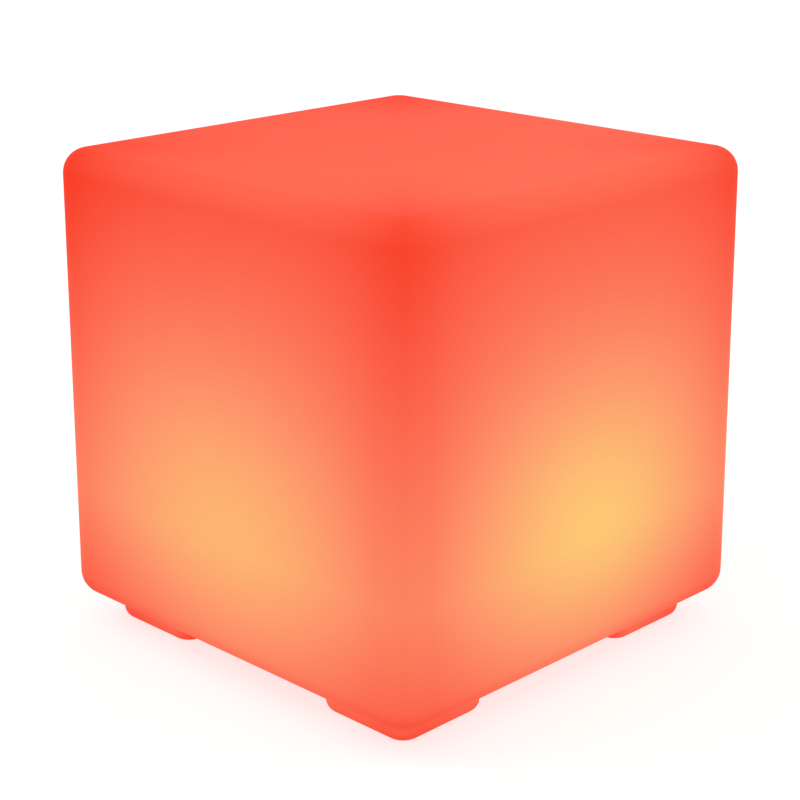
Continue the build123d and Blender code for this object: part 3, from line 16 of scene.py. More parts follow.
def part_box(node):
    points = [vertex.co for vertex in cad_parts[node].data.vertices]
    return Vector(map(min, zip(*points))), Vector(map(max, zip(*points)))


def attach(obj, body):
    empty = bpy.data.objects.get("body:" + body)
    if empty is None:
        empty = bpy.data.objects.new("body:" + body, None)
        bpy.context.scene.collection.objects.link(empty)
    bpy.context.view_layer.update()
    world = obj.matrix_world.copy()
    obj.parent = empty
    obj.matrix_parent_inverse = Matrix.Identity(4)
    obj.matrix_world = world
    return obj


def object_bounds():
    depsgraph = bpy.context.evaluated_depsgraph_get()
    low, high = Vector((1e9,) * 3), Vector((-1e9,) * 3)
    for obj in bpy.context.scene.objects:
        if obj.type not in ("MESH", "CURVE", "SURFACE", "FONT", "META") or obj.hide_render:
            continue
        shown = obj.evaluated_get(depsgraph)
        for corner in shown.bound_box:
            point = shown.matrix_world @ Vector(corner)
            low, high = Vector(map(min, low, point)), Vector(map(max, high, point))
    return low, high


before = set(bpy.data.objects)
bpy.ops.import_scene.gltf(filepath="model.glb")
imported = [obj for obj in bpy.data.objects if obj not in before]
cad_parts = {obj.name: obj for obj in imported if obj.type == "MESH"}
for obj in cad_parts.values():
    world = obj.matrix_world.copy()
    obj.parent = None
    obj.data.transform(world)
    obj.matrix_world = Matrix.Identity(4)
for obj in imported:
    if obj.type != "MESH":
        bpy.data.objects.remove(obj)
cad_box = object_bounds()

HEIGHT = cad_box[1].z  # the cube stands on zero

# %% [markdown]
# ## Small tools
#
# Everything is in metres, but the sizes of grains and scratches are easier to read in millimetres.
# Colours are written as the sRGB hex values that a paint chart would give, and one function turns them
# into the linear numbers that Blender's sockets hold.

# %% Units and colours
MM = 0.001


def linear(hex_colour):
    """The linear colour of an sRGB hex value such as #FE8462."""
    channels = [int(hex_colour[start:start + 2], 16) / 255 for start in (1, 3, 5)]
    return (*(c / 12.92 if c <= 0.04045 else ((c + 0.055) / 1.055) ** 2.4 for c in channels), 1.0)


def shaded(hex_colour, share):
    """The same colour, of which only a share is left."""
    red, green, blue, alpha = linear(hex_colour)
    return (red * share, green * share, blue * share, alpha)


print("one grey:", [round(c, 3) for c in linear("#808080")])

# %% [markdown]
# A second tool adds any node with its options and its inputs, so that a material reads from top to bottom
# like a recipe. An input can be a number, a colour, a socket, or a whole node, which stands for its first
# output. Every material here has one Principled shader, and its patterns follow the object's own
# coordinates, which stay with a piece when it moves.

# %% Nodes and materials
def fill(tree, node, inputs):
    """Fill a node's inputs: numbers and colours are set, sockets and whole nodes are linked."""
    for socket, value in inputs.items():
        if isinstance(value, bpy.types.Node):
            value = next(output for output in value.outputs if output.enabled)
        if isinstance(value, bpy.types.NodeSocket):
            tree.links.new(value, node.inputs[socket])
        else:
            node.inputs[socket].default_value = value


def add_node(tree, kind, options=None, inputs=None):
    """Add a node, set its options and fill its inputs."""
    node = tree.nodes.new(kind)
    for option, value in (options or {}).items():
        setattr(node, option, value)
    fill(tree, node, inputs or {})
    return node


def new_material(name, inputs):
    """A material with one shader. Returns the material, its tree, the shader and the object coordinates."""
    material = bpy.data.materials.new(name)
    material.use_nodes = True
    tree = material.node_tree
    tree.nodes.clear()
    shader = add_node(tree, "ShaderNodeBsdfPrincipled", inputs=inputs)
    add_node(tree, "ShaderNodeOutputMaterial", inputs={"Surface": shader})
    place = add_node(tree, "ShaderNodeTexCoord").outputs["Object"]
    return material, tree, shader, place


def paint(material, *names):
    """Give nodes of the frame this finish."""
    for name in names:
        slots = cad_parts[name].data.materials
        slots.clear()
        slots.append(material)
    print(material.name, "->", ", ".join(names))


print("tools ready")

# %% [markdown]
# ## The camera
#
# The photograph looks at one upright edge of the cube, a little from above, so the two faces beside that
# edge are foreshortened alike. A camera can be dragged about until the picture looks right, but then
# nobody knows whether the view or the model is wrong. So this view was worked out from the outline of the
# cube: where its corners lie, how fast its edges converge and where its feet end. The small shift says
# that the picture was cropped slightly off its centre.

# %% Place the camera
AIM = Vector((0, 0, HEIGHT / 2))
AZIMUTH = math.radians(44.68)
ELEVATION = math.radians(17.80)
ROLL = math.radians(-0.085)
DISTANCE = 1.5986
SENSOR_MM = 36.0
LENS_MM = 88.12
SHIFT = (-0.0013, -0.0139)

level = math.cos(ELEVATION)
back = Vector((math.sin(AZIMUTH) * level, -math.cos(AZIMUTH) * level, math.sin(ELEVATION)))
level_right = Vector((0, 0, 1)).cross(back).normalized()
level_up = back.cross(level_right)
right = level_right * math.cos(ROLL) + level_up * math.sin(ROLL)
turned = Matrix((right, back.cross(right), back)).transposed().to_4x4()

camera_data = bpy.data.cameras.new("camera")
camera_data.sensor_width = SENSOR_MM
camera_data.lens = LENS_MM
camera_data.shift_x, camera_data.shift_y = SHIFT
camera = bpy.data.objects.new("camera", camera_data)
camera.matrix_world = Matrix.Translation(AIM + back * DISTANCE) @ turned
bpy.context.scene.collection.objects.link(camera)
bpy.context.scene.camera = camera
print("camera at", [round(v, 3) for v in camera.matrix_world.translation])

# %% [markdown]
# ## A plain studio
#
# A glowing thing needs little light from outside, but the underside, the screws and the rubber parts do.
# The world gives an even light from everywhere, and two large panels add a direction; together they light
# a white card to about white. The background has to be white too. Stronger lamps would do it, and would
# wash out the cube. So Light Path tells the world and the floor that the camera is looking, and they
# answer with plain white. Metal and clear plastic see the same white, and the floor still takes the
# cube's shadow.

# %% World
# Standard shows a colour as it is written; the other view transforms dull it
bpy.context.scene.view_settings.view_transform = "Standard"

WORLD_LEVEL = 0.80


def looked_at(tree):
    """One where the camera, a gloss or a clear piece looks, and zero where light is being gathered."""
    path = add_node(tree, "ShaderNodeLightPath").outputs
    mirrored = add_node(
        tree, "ShaderNodeMath", {"operation": "MAXIMUM"},
        {0: path["Is Glossy Ray"], 1: path["Is Transmission Ray"]},
    )
    return add_node(
        tree, "ShaderNodeMath", {"operation": "MAXIMUM"}, {0: path["Is Camera Ray"], 1: mirrored}
    )


world = bpy.data.worlds.new("studio_world")
bpy.context.scene.world = world
world.use_nodes = True
sky = world.node_tree
sky.nodes.clear()
strength = add_node(
    sky, "ShaderNodeMapRange", inputs={"Value": looked_at(sky), "To Min": WORLD_LEVEL, "To Max": 1.0}
)
backdrop = add_node(sky, "ShaderNodeBackground", inputs={"Color": linear("#FFFFFF"), "Strength": strength})
add_node(sky, "ShaderNodeOutputWorld", inputs={"Surface": backdrop})
print("world level:", WORLD_LEVEL)

# %% Two soft panels
PANEL_SIZE = 1.8


def add_panel(name, place, watts):
    """A square soft panel that faces the middle of the cube."""
    panel = bpy.data.lights.new(name, "AREA")
    panel.size = PANEL_SIZE
    panel.energy = watts
    lamp = bpy.data.objects.new(name, panel)
    lamp.location = place
    lamp.rotation_euler = (AIM - Vector(place)).to_track_quat("-Z", "Y").to_euler()
    bpy.context.scene.collection.objects.link(lamp)
    print(name, watts, "W, at", round((AIM - Vector(place)).length, 2), "m from the cube")


add_panel("panel_left", place=(-1.6, -2.0, 2.6), watts=22)
add_panel("panel_right", place=(2.6, 0.6, 2.2), watts=12)

# %% Floor
FLOOR_RADIUS = 14.0
FLOOR_CORNERS = 48
FLOOR_LIFT = 0.70  # what the camera sees on top of the floor's own shading

floor_mesh = bpy.data.meshes.new("floor")
turns = [math.tau * step / FLOOR_CORNERS for step in range(FLOOR_CORNERS)]
rim = [(FLOOR_RADIUS * math.cos(turn), FLOOR_RADIUS * math.sin(turn), 0) for turn in turns]
floor_mesh.from_pydata(rim, [], [list(range(FLOOR_CORNERS))])
floor = bpy.data.objects.new("floor", floor_mesh)
bpy.context.scene.collection.objects.link(floor)

floor_paint, tree, shader, place = new_material(
    "pale_studio_floor",
    {
        "Base Color": linear("#AAAAA8"), "Roughness": 0.9, "Specular IOR Level": 0.1,
        "Emission Color": linear("#FFFFFF"),
    },
)
lift = add_node(
    tree, "ShaderNodeMapRange", inputs={"Value": looked_at(tree), "To Min": 0.0, "To Max": FLOOR_LIFT}
)
fill(tree, shader, {"Emission Strength": lift})
floor_mesh.materials.append(floor_paint)
print("floor:", 2 * FLOOR_RADIUS, "m across")

# %% [markdown]
# ## The skin: rotomoulded polyethylene, lit from inside
#
# Polyethylene powder is tumbled in a hot mould until it lines the walls as one seamless milky skin,
# 4 mm thick. It could be rendered as a real translucent shell with lamps inside it, which is slow, noisy
# and lost when the model is exported. Light behind a milky sheet obeys simple laws, so we compute it, as
# one number: the green light that comes through. Red is full nearly everywhere on this cube, so green
# says which colour the eye sees: deep red where the skin is dim, orange where it is bright, amber beside
# the lamp.
#
# First comes the **direct light**. It falls with the distance to the lamp and with the cosine of the
# angle at which it meets the skin. It is weak straight up and down, because a lamp post throws its light
# sideways.

# %% Direct light through the skin
LAMP = Vector((0.0110, 0.0110, 0.1369))  # middle of the light, near the lamp post's middle chips
WALL_DISTANCE = round(cad_box[1].x, 3)  # from the cube's axis to a wall's foot, to the millimetre
LAMP_GAIN = 0.299  # green on a wall straight in front of the lamp
END_LOSS = 0.80  # what the lamp throws less straight up and down than to the sides
FALLOFF = 3.0  # steeper than the square, as slanting light has a longer way through the skin

polyethylene, tree, shader, place = new_material(
    "rotomoulded_polyethylene_lit_red",
    {"Base Color": linear("#54130B"), "Roughness": 0.62, "IOR": 1.51, "Specular IOR Level": 0.02},
)
facing = add_node(tree, "ShaderNodeTexCoord").outputs["Normal"]
ray = add_node(tree, "ShaderNodeVectorMath", {"operation": "SUBTRACT"}, {0: place, 1: LAMP})
length = add_node(tree, "ShaderNodeVectorMath", {"operation": "LENGTH"}, {0: ray}).outputs["Value"]
aim = add_node(tree, "ShaderNodeVectorMath", {"operation": "NORMALIZE"}, {0: ray})
slant = add_node(tree, "ShaderNodeVectorMath", {"operation": "DOT_PRODUCT"}, {0: aim, 1: facing})
slant = add_node(tree, "ShaderNodeMath", {"operation": "MAXIMUM"}, {0: slant.outputs["Value"], 1: 0.0})
steep = add_node(tree, "ShaderNodeSeparateXYZ", inputs={0: aim}).outputs["Z"]
steep = add_node(tree, "ShaderNodeMath", {"operation": "MULTIPLY"}, {0: steep, 1: steep})
throw = add_node(tree, "ShaderNodeMapRange", inputs={"Value": steep, "To Min": 1.0, "To Max": 1 - END_LOSS})
nearness = add_node(tree, "ShaderNodeMath", {"operation": "DIVIDE"}, {0: WALL_DISTANCE, 1: length})
falloff = add_node(tree, "ShaderNodeMath", {"operation": "POWER"}, {0: nearness, 1: FALLOFF})
direct = add_node(tree, "ShaderNodeMath", {"operation": "MULTIPLY"}, {0: slant, 1: throw})
direct = add_node(tree, "ShaderNodeMath", {"operation": "MULTIPLY"}, {0: direct, 1: falloff})
print("from the lamp to the +X wall:", round((WALL_DISTANCE - LAMP.x) / MM), "mm")

# %% [markdown]
# The module under the lamp is opaque, so it shadows the skin that faces the floor: close to the module
# that skin gets nothing of the lamp, and towards the walls it gets all. Walls and top are never in shadow.

# %% The module's shadow
SHADOW_FROM, SHADOW_TO = 0.085, 0.185  # from the cube's axis: where the shadow begins to lift, and ends
FLOORWARD = -0.6  # skin whose normal has a Z above this doesn't face the floor

outward = add_node(tree, "ShaderNodeVectorMath", {"operation": "MULTIPLY"}, {0: place, 1: (1, 1, 0)})
outward = add_node(tree, "ShaderNodeVectorMath", {"operation": "LENGTH"}, {0: outward}).outputs["Value"]
outside = add_node(
    tree, "ShaderNodeMapRange", inputs={"Value": outward, "From Min": SHADOW_FROM, "From Max": SHADOW_TO}
)
up_or_down = add_node(tree, "ShaderNodeSeparateXYZ", inputs={0: facing}).outputs["Z"]
not_down = add_node(
    tree, "ShaderNodeMapRange", inputs={"Value": up_or_down, "From Min": -1.0, "From Max": FLOORWARD}
)
unshaded = add_node(tree, "ShaderNodeMath", {"operation": "MAXIMUM"}, {0: not_down, 1: outside})
direct = add_node(tree, "ShaderNodeMath", {"operation": "MULTIPLY"}, {0: direct, 1: unshaded})
print("shadow lifts over", round((SHADOW_TO - SHADOW_FROM) / MM), "mm")

# %% [markdown]
# **Bounced light** fills the white hollow. It fades towards the top, is a little stronger under the flat
# top, and hardly reaches the lowest 120 mm, which the module shades. It leans a little to one side, as
# the lamp does.

# %% Bounced light
BOUNCE_LOW, BOUNCE_HIGH = 0.273, 0.065  # green from bounced light at the floor and at the top
SHADE_TOP, SHADE_DEPTH = 0.121, 0.2325  # the module's shade: up to this height, and how much it takes
TOP_BOUNCE = 0.034  # extra light under the flat top
LEAN = 0.023  # the +X side is a little brighter at the top, and the -X side darker

across, _, height = add_node(tree, "ShaderNodeSeparateXYZ", inputs={0: place}).outputs
bounce = add_node(
    tree, "ShaderNodeMapRange",
    inputs={"Value": height, "From Max": HEIGHT, "To Min": BOUNCE_LOW, "To Max": BOUNCE_HIGH},
)
shade = add_node(
    tree, "ShaderNodeMapRange",
    inputs={"Value": height, "From Max": SHADE_TOP, "To Min": SHADE_DEPTH, "To Max": 0.0},
)
top = add_node(
    tree, "ShaderNodeMapRange", inputs={"Value": up_or_down, "To Min": 0.0, "To Max": TOP_BOUNCE}
)
lean = add_node(tree, "ShaderNodeMath", {"operation": "MULTIPLY"}, {0: across, 1: height})
lean = add_node(
    tree, "ShaderNodeMath", {"operation": "MULTIPLY"}, {0: lean, 1: LEAN / (WALL_DISTANCE * HEIGHT)}
)
glow = add_node(tree, "ShaderNodeMath", {"operation": "MULTIPLY_ADD"}, {0: direct, 1: LAMP_GAIN, 2: bounce})
glow = add_node(tree, "ShaderNodeMath", {"operation": "SUBTRACT"}, {0: glow, 1: shade})
glow = add_node(tree, "ShaderNodeMath", {"operation": "ADD"}, {0: glow, 1: top})
glow = add_node(tree, "ShaderNodeMath", {"operation": "ADD"}, {0: glow, 1: lean})
print("bounced green at the floor and the top:", BOUNCE_LOW, BOUNCE_HIGH)

# %% [markdown]
# **Thick corners** swallow light. In tumbling, powder gathers where the skin turns a corner, and light
# has a longer and more slanting way out the nearer it is to an upright edge. A point is near such an
# edge when both its X and its Y are large, so the smaller of the two says how near. Where the skin turns
# under, it also faces the dark floor from the module's shade, and loses a little more.

# %% Thick corners and the turned-under edge
EDGE_LOSS_LOW, EDGE_LOSS_HIGH = 0.331, 0.627  # what the upright edges swallow at the floor and at the top
EDGE_GRIP = 2.89  # how tightly that loss keeps to the edges
UNDER_LOSS = 0.292  # what the turned-under skin swallows
UNDER_TURN = -0.5  # and the normal's Z at which it swallows all of that

beside = add_node(tree, "ShaderNodeVectorMath", {"operation": "ABSOLUTE"}, {0: place})
beside_x, beside_y, _ = add_node(tree, "ShaderNodeSeparateXYZ", inputs={0: beside}).outputs
to_edge = add_node(tree, "ShaderNodeMath", {"operation": "MINIMUM"}, {0: beside_x, 1: beside_y})
to_edge = add_node(tree, "ShaderNodeMath", {"operation": "DIVIDE"}, {0: to_edge, 1: WALL_DISTANCE})
to_edge = add_node(tree, "ShaderNodeMath", {"operation": "POWER"}, {0: to_edge, 1: EDGE_GRIP})
rise = add_node(tree, "ShaderNodeMath", {"operation": "MULTIPLY"}, {0: height, 1: height})
edge_loss = add_node(
    tree, "ShaderNodeMapRange",
    inputs={"Value": rise, "From Max": HEIGHT**2, "To Min": EDGE_LOSS_LOW, "To Max": EDGE_LOSS_HIGH},
)
edge_loss = add_node(tree, "ShaderNodeMath", {"operation": "MULTIPLY"}, {0: to_edge, 1: edge_loss})
kept = add_node(tree, "ShaderNodeMath", {"operation": "SUBTRACT"}, {0: 1.0, 1: edge_loss})
kept_under = add_node(
    tree, "ShaderNodeMapRange",
    inputs={
        "Value": up_or_down, "From Min": UNDER_TURN, "From Max": 0.0,
        "To Min": 1 - UNDER_LOSS, "To Max": 1.0,
    },
)
glow = add_node(tree, "ShaderNodeMath", {"operation": "MULTIPLY"}, {0: glow, 1: kept})
glow = add_node(tree, "ShaderNodeMath", {"operation": "MULTIPLY"}, {0: glow, 1: kept_under})
print("kept at an upright edge:", round(1 - EDGE_LOSS_LOW, 2), "to", round(1 - EDGE_LOSS_HIGH, 2))

# %% [markdown]
# A colour ramp turns the number into a colour. Each of its colours stands at its own green value, so the
# number that goes in is the green that comes out. The ramp sets what the skin gives off, and the studio
# adds its own reflection, which was measured with the lamp off and is taken away from every colour.

# %% Colour of the glow
STUDIO_SHARE = (0.070, 0.007, 0.005)  # red, green and blue that the skin adds in the studio's light
GLOW_COLOURS = (
    "#D42416", "#FA3A25", "#FA4C35", "#FC5C46", "#FD6C52", "#FD7E5E", "#FE946A", "#FDAC71", "#FEC875",
)

ramp = add_node(tree, "ShaderNodeValToRGB", inputs={"Fac": glow})
stops = ramp.color_ramp.elements
while len(stops) < len(GLOW_COLOURS):
    stops.new(0.5)
# all places first and all colours after, because a ramp keeps its stops sorted by place
for stop, hex_colour in zip(stops, GLOW_COLOURS):
    stop.position = linear(hex_colour)[1]
for stop, hex_colour in zip(stops, GLOW_COLOURS):
    stop.color = (*(whole - share for whole, share in zip(linear(hex_colour), STUDIO_SHARE)), 1.0)
print("ramp stops at", [round(stop.position, 3) for stop in stops])

# %% [markdown]
# The skin's outside is a print of its mould. Such moulds are grit-blasted, which leaves a fine dull grain
# and takes every sharp reflection away. The grain could be carved into the mesh, but no edge of the cube
# is near enough to show it, so a bump is enough.

# %% Mould grain and paint
GRAIN_MM = 1.2  # the real grain is finer than a pixel, and is drawn at this size to show at all
GRAIN_DEPTH_MM = 0.05

grain = add_node(
    tree, "ShaderNodeTexNoise", inputs={"Vector": place, "Scale": 1 / (GRAIN_MM * MM), "Detail": 3.0}
)
bump = add_node(
    tree, "ShaderNodeBump", inputs={"Strength": 0.12, "Distance": GRAIN_DEPTH_MM * MM, "Height": grain}
)
fill(tree, shader, {"Emission Color": ramp, "Emission Strength": 1.0, "Normal": bump})
paint(polyethylene, "cube_shell")

# %% [markdown]
# ## Finishes of the light module
#
# The module in the underside and what it holds is made of a few families: moulded plastics and rubbers,
# metals, and coated laminates. Every piece could have a material written out for it alone. Instead each
# family has one recipe, because what differs between two members of a family is a handful of numbers.
#
# Moulded plastic takes the grain of its mould and varies a little in gloss. Real grain is 0.02 to 0.1 mm
# wide; it is drawn several times coarser, at grain_mm, so that a close view still shows it.

# %% Recipe for moulded plastic and rubber
MOTTLE_GRAINS = 12  # the clouds in its colour are this many grains wide
MOTTLE_SHADE = 0.90  # share of the colour that is left in its darkest clouds
MOULDED_SPREAD = 0.06  # how far its roughness strays either way
GRAIN_RELIEF = 0.1  # depth of a grain in its own widths


def moulded(name, hex_colour, roughness, grain_mm, grain_depth=0.4, inputs=None):
    """Moulded plastic or rubber: an even colour, gently mottled, under the grain of its mould."""
    material, tree, shader, place = new_material(name, inputs or {})
    mottle = add_node(
        tree, "ShaderNodeTexNoise",
        inputs={"Vector": place, "Scale": 1 / (MOTTLE_GRAINS * grain_mm * MM), "Detail": 2.0},
    ).outputs["Fac"]
    colour = add_node(
        tree, "ShaderNodeMix", {"data_type": "RGBA"},
        {"Factor": mottle, "A": shaded(hex_colour, MOTTLE_SHADE), "B": linear(hex_colour)},
    )
    gloss = add_node(
        tree, "ShaderNodeMapRange",
        inputs={
            "Value": mottle, "To Min": roughness - MOULDED_SPREAD, "To Max": roughness + MOULDED_SPREAD,
        },
    )
    grain = add_node(
        tree, "ShaderNodeTexNoise", inputs={"Vector": place, "Scale": 1 / (grain_mm * MM), "Detail": 3.0}
    )
    bump = add_node(
        tree, "ShaderNodeBump",
        inputs={"Strength": grain_depth, "Distance": GRAIN_RELIEF * grain_mm * MM, "Height": grain},
    )
    fill(tree, shader, {"Base Color": colour, "Roughness": gloss, "Normal": bump})
    return material


print("moulded: roughness strays by", MOULDED_SPREAD, "and colour by", round(1 - MOTTLE_SHADE, 2))

# %% [markdown]
# Metal keeps the lines of the tool that cut or drew it. The shader's anisotropy could draw out its
# highlights alone; a noise that is stretched along the tool's way does that and shows the lines too. Real
# ones are about 0.02 mm apart; they are drawn at line_mm, several times coarser.

# %% Recipe for machined metal
LINE_SHADE = 0.82  # share of the colour that is left in its darkest lines
METAL_SPREAD = 0.08  # how far its roughness strays either way
LINE_RELIEF = 0.05  # depth of a line in its own widths


def machined(name, hex_colour, roughness, line_mm, along=(1, 1, 12)):
    """Bare metal with the fine lines of the tool that shaped it. along stretches them in X, Y and Z."""
    material, tree, shader, place = new_material(name, {"Metallic": 1.0})
    stretched = add_node(
        tree, "ShaderNodeVectorMath", {"operation": "DIVIDE"}, {0: place, 1: Vector(along) * line_mm * MM}
    )
    lines = add_node(
        tree, "ShaderNodeTexNoise", inputs={"Vector": stretched, "Scale": 1.0, "Detail": 3.0}
    ).outputs["Fac"]
    colour = add_node(
        tree, "ShaderNodeMix", {"data_type": "RGBA"},
        {"Factor": lines, "A": shaded(hex_colour, LINE_SHADE), "B": linear(hex_colour)},
    )
    gloss = add_node(
        tree, "ShaderNodeMapRange",
        inputs={"Value": lines, "To Min": roughness - METAL_SPREAD, "To Max": roughness + METAL_SPREAD},
    )
    bump = add_node(
        tree, "ShaderNodeBump",
        inputs={"Strength": 0.25, "Distance": LINE_RELIEF * line_mm * MM, "Height": lines},
    )
    fill(tree, shader, {"Base Color": colour, "Roughness": gloss, "Normal": bump})
    return material


print("machined: roughness strays by", METAL_SPREAD, "and colour by", round(1 - LINE_SHADE, 2))

# %% [markdown]
# A circuit board has glass cloth under its lacquer. The cloth's threads shine through as a faint check,
# and the lacquer lies over them in low waves, each about four threads long. The cloth could be woven from
# two wave patterns, but at one thread to a square a checker looks the same.

# %% Recipe for lacquered boards
WEAVE_SHADE = 0.86  # share of the colour that is left on every second thread
WAVE_THREADS = 4  # how many threads one wave of the lacquer covers
WAVE_DEPTH_MM = 0.05


def lacquered_board(name, hex_colour, weave_mm=0.8):
    """A circuit board: glass cloth, woven at weave_mm, under a glossy solder lacquer."""
    material, tree, shader, place = new_material(name, {"Roughness": 0.28, "Coat Weight": 0.3})
    cloth = add_node(
        tree, "ShaderNodeTexChecker",
        inputs={
            "Vector": place, "Color1": linear(hex_colour), "Color2": shaded(hex_colour, WEAVE_SHADE),
            "Scale": 1 / (weave_mm * MM),
        },
    )
    waves = add_node(
        tree, "ShaderNodeTexNoise", inputs={"Vector": place, "Scale": 1 / (WAVE_THREADS * weave_mm * MM)}
    )
    bump = add_node(
        tree, "ShaderNodeBump", inputs={"Strength": 0.15, "Distance": WAVE_DEPTH_MM * MM, "Height": waves}
    )
    fill(tree, shader, {"Base Color": cloth, "Normal": bump})
    return material


print("boards: every second thread is darker by", round(1 - WEAVE_SHADE, 2))

# %% [markdown]
# ## The underside and the inside of the module
#
# Turn the cube over and the module shows: a pale ABS flange under six screws, a sunk panel with the
# button, the indicator and the charging socket, and a rubber cover on a strap. The rest is inside, and
# only an opened module shows it; it is finished as carefully, because a part that is taken apart should
# still look real. Each line below says what a piece is made of, how, and what that gives the eye.

# %% Plastics
# ABS from a spark-eroded mould: its fine even grain kills reflections
paint(
    moulded("spark_grained_abs", "#DAD8D2", roughness=0.52, grain_mm=0.5),
    "module_housing", "lamp_deck", "post_cap",
)
# the same ABS without white pigment, for what nobody sees: yellower
paint(moulded("natural_abs", "#C9C6BC", roughness=0.50, grain_mm=0.5), "battery_saddle", "battery_straps")
# ABS from a polished mould: it shines, and a finger finds it by its smoothness
paint(moulded("polished_abs", "#E9E7E1", roughness=0.24, grain_mm=0.8, grain_depth=0.08), "button_cap")
# nylon, moulded black for the socket and the switch, and left in its own ivory for the plugs: half gloss
paint(
    moulded("black_nylon", "#161617", roughness=0.42, grain_mm=0.3, grain_depth=0.3),
    "charge_jack", "push_switch", "switch_plunger",
)
paint(
    moulded("natural_nylon", "#DDD6C2", roughness=0.38, grain_mm=0.3, grain_depth=0.2), "board_connectors"
)
# ferrite is powder, pressed and fired: a dull dark grey with open pores
paint(
    moulded("pressed_ferrite", "#3A3A3C", roughness=0.70, grain_mm=0.25, grain_depth=0.6), "board_inductor"
)
# epoxy, moulded round the chips from a lightly blasted mould: near black and half dull
paint(moulded("moulded_epoxy", "#202022", roughness=0.48, grain_mm=0.2), "board_chips")

# %% Rubbers
# silicone, compression moulded with carbon black: dark, dull, with a little sheen at its edges
paint(
    moulded(
        "black_silicone", "#1B1B1C", roughness=0.62, grain_mm=0.35, grain_depth=0.5,
        inputs={"Sheen Weight": 0.15},
    ),
    "port_cover", "port_cover_anchor", "button_o_ring", "jack_washer",
)
# silicone without a pigment: milky, and light goes a little way into it
paint(
    moulded(
        "milky_silicone", "#C4C3BE", roughness=0.55, grain_mm=0.4, grain_depth=0.3,
        inputs={"Subsurface Weight": 0.1},
    ),
    "flange_gasket", "deck_gasket", "cover_gasket",
)

# %% Metals
# stainless steel, cold headed and tumbled: a soft grey shine with no direction
paint(
    machined("stainless_steel", "#C3C2C0", roughness=0.30, line_mm=0.15, along=(1, 1, 1)),
    "flange_screws", "strap_screws", "board_screws", "switch_board_screws", "post_screws", "cap_screws",
    "cover_screws",
)
# brass, turned from hexagonal bar: the tool's lines run round it
paint(machined("turned_brass", "#C9A45A", roughness=0.28, line_mm=0.12, along=(6, 6, 1)), "insert_nuts")
# nickel plate over drawn brass and strip: warm and bright, with fine upright lines
paint(
    machined("nickel_plate", "#BDB6A6", roughness=0.22, line_mm=0.15),
    "jack_pin", "jack_nut", "jack_terminals", "battery_tabs",
)
# aluminium, pressed through a die: long straight lines from end to end
paint(machined("extruded_aluminium", "#C6C8CA", roughness=0.36, line_mm=0.4, along=(1, 1, 60)), "lamp_post")

# %% Boards
# glass cloth in epoxy, coated and baked: green is the plain lacquer, glossy over a faint weave
paint(
    lacquered_board("green_solder_lacquer", "#14613A"),
    "control_board", "switch_board", "battery_guard_board",
)
# the boards beside the light are coated white, to throw it back
paint(lacquered_board("white_solder_lacquer", "#E4E3DD", weave_mm=1.2), "light_strips", "hub_board")

# %% [markdown]
# ## Sleeves and wires
#
# Cells and capacitors wear a sleeve of PVC film that was shrunk on with hot air: tight, glossy, and
# slightly rippled. Cloth tools could wrinkle a real sleeve, but ripples a tenth of a millimetre deep only
# show in the reflections, which a bump bends just as well.

# %% Shrink sleeves
FILM_SHADE = 0.84  # share of the colour that is left in the deepest ripples
RIPPLE_DEPTH_MM = 0.1


def shrink_sleeve(name, hex_colour, ripple_mm):
    """PVC film shrunk onto a can, with soft ripples of this width."""
    material, tree, shader, place = new_material(name, {"Roughness": 0.22, "Coat Weight": 0.4})
    ripples = add_node(
        tree, "ShaderNodeTexNoise", inputs={"Vector": place, "Scale": 1 / (ripple_mm * MM), "Detail": 1.0}
    ).outputs["Fac"]
    film = add_node(
        tree, "ShaderNodeMix", {"data_type": "RGBA"},
        {"Factor": ripples, "A": shaded(hex_colour, FILM_SHADE), "B": linear(hex_colour)},
    )
    bump = add_node(
        tree, "ShaderNodeBump",
        inputs={"Strength": 0.3, "Distance": RIPPLE_DEPTH_MM * MM, "Height": ripples},
    )
    fill(tree, shader, {"Base Color": film, "Normal": bump})
    return material


# the wider a can is, the wider its ripples are
paint(shrink_sleeve("blue_pvc_sleeve", "#2E6CA4", ripple_mm=6.0), "battery_cells")
paint(shrink_sleeve("black_pvc_sleeve", "#1E1E24", ripple_mm=3.0), "board_capacitors")

# %% [markdown]
# Wires come in pairs, black and red, that have to be told apart. Both wires of a pair are one piece. Two
# material slots could colour them face by face, but it is simpler to choose the colour by where each wire
# lies: a Greater Than node on X switches it half way between them. The jacket is PVC, drawn through a
# die, which leaves it glossy and faintly uneven.

# %% Wires in pairs
JACKET_BLACK, JACKET_RED = "#1C1B1C", "#B3221B"
UNEVEN_MM = 1.5  # length of the low waves that the die leaves
UNEVEN_DEPTH_MM = 0.05


def paired_wires(name, middle_x):
    """Glossy PVC wire; the one on the -X side of middle_x is black."""
    material, tree, shader, place = new_material(name, {"Roughness": 0.30})
    across = add_node(tree, "ShaderNodeSeparateXYZ", inputs={0: place}).outputs["X"]
    is_red = add_node(tree, "ShaderNodeMath", {"operation": "GREATER_THAN"}, {0: across, 1: middle_x})
    jacket = add_node(
        tree, "ShaderNodeMix", {"data_type": "RGBA"},
        {"Factor": is_red, "A": linear(JACKET_BLACK), "B": linear(JACKET_RED)},
    )
    drawn = add_node(tree, "ShaderNodeTexNoise", inputs={"Vector": place, "Scale": 1 / (UNEVEN_MM * MM)})
    bump = add_node(
        tree, "ShaderNodeBump", inputs={"Strength": 0.1, "Distance": UNEVEN_DEPTH_MM * MM, "Height": drawn}
    )
    fill(tree, shader, {"Base Color": jacket, "Normal": bump})
    return material


for leads in ("battery_leads", "switch_leads", "jack_leads", "lamp_leads"):
    low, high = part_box(leads)
    paint(paired_wires("pvc_wire_of_" + leads, (low.x + high.x) / 2), leads)

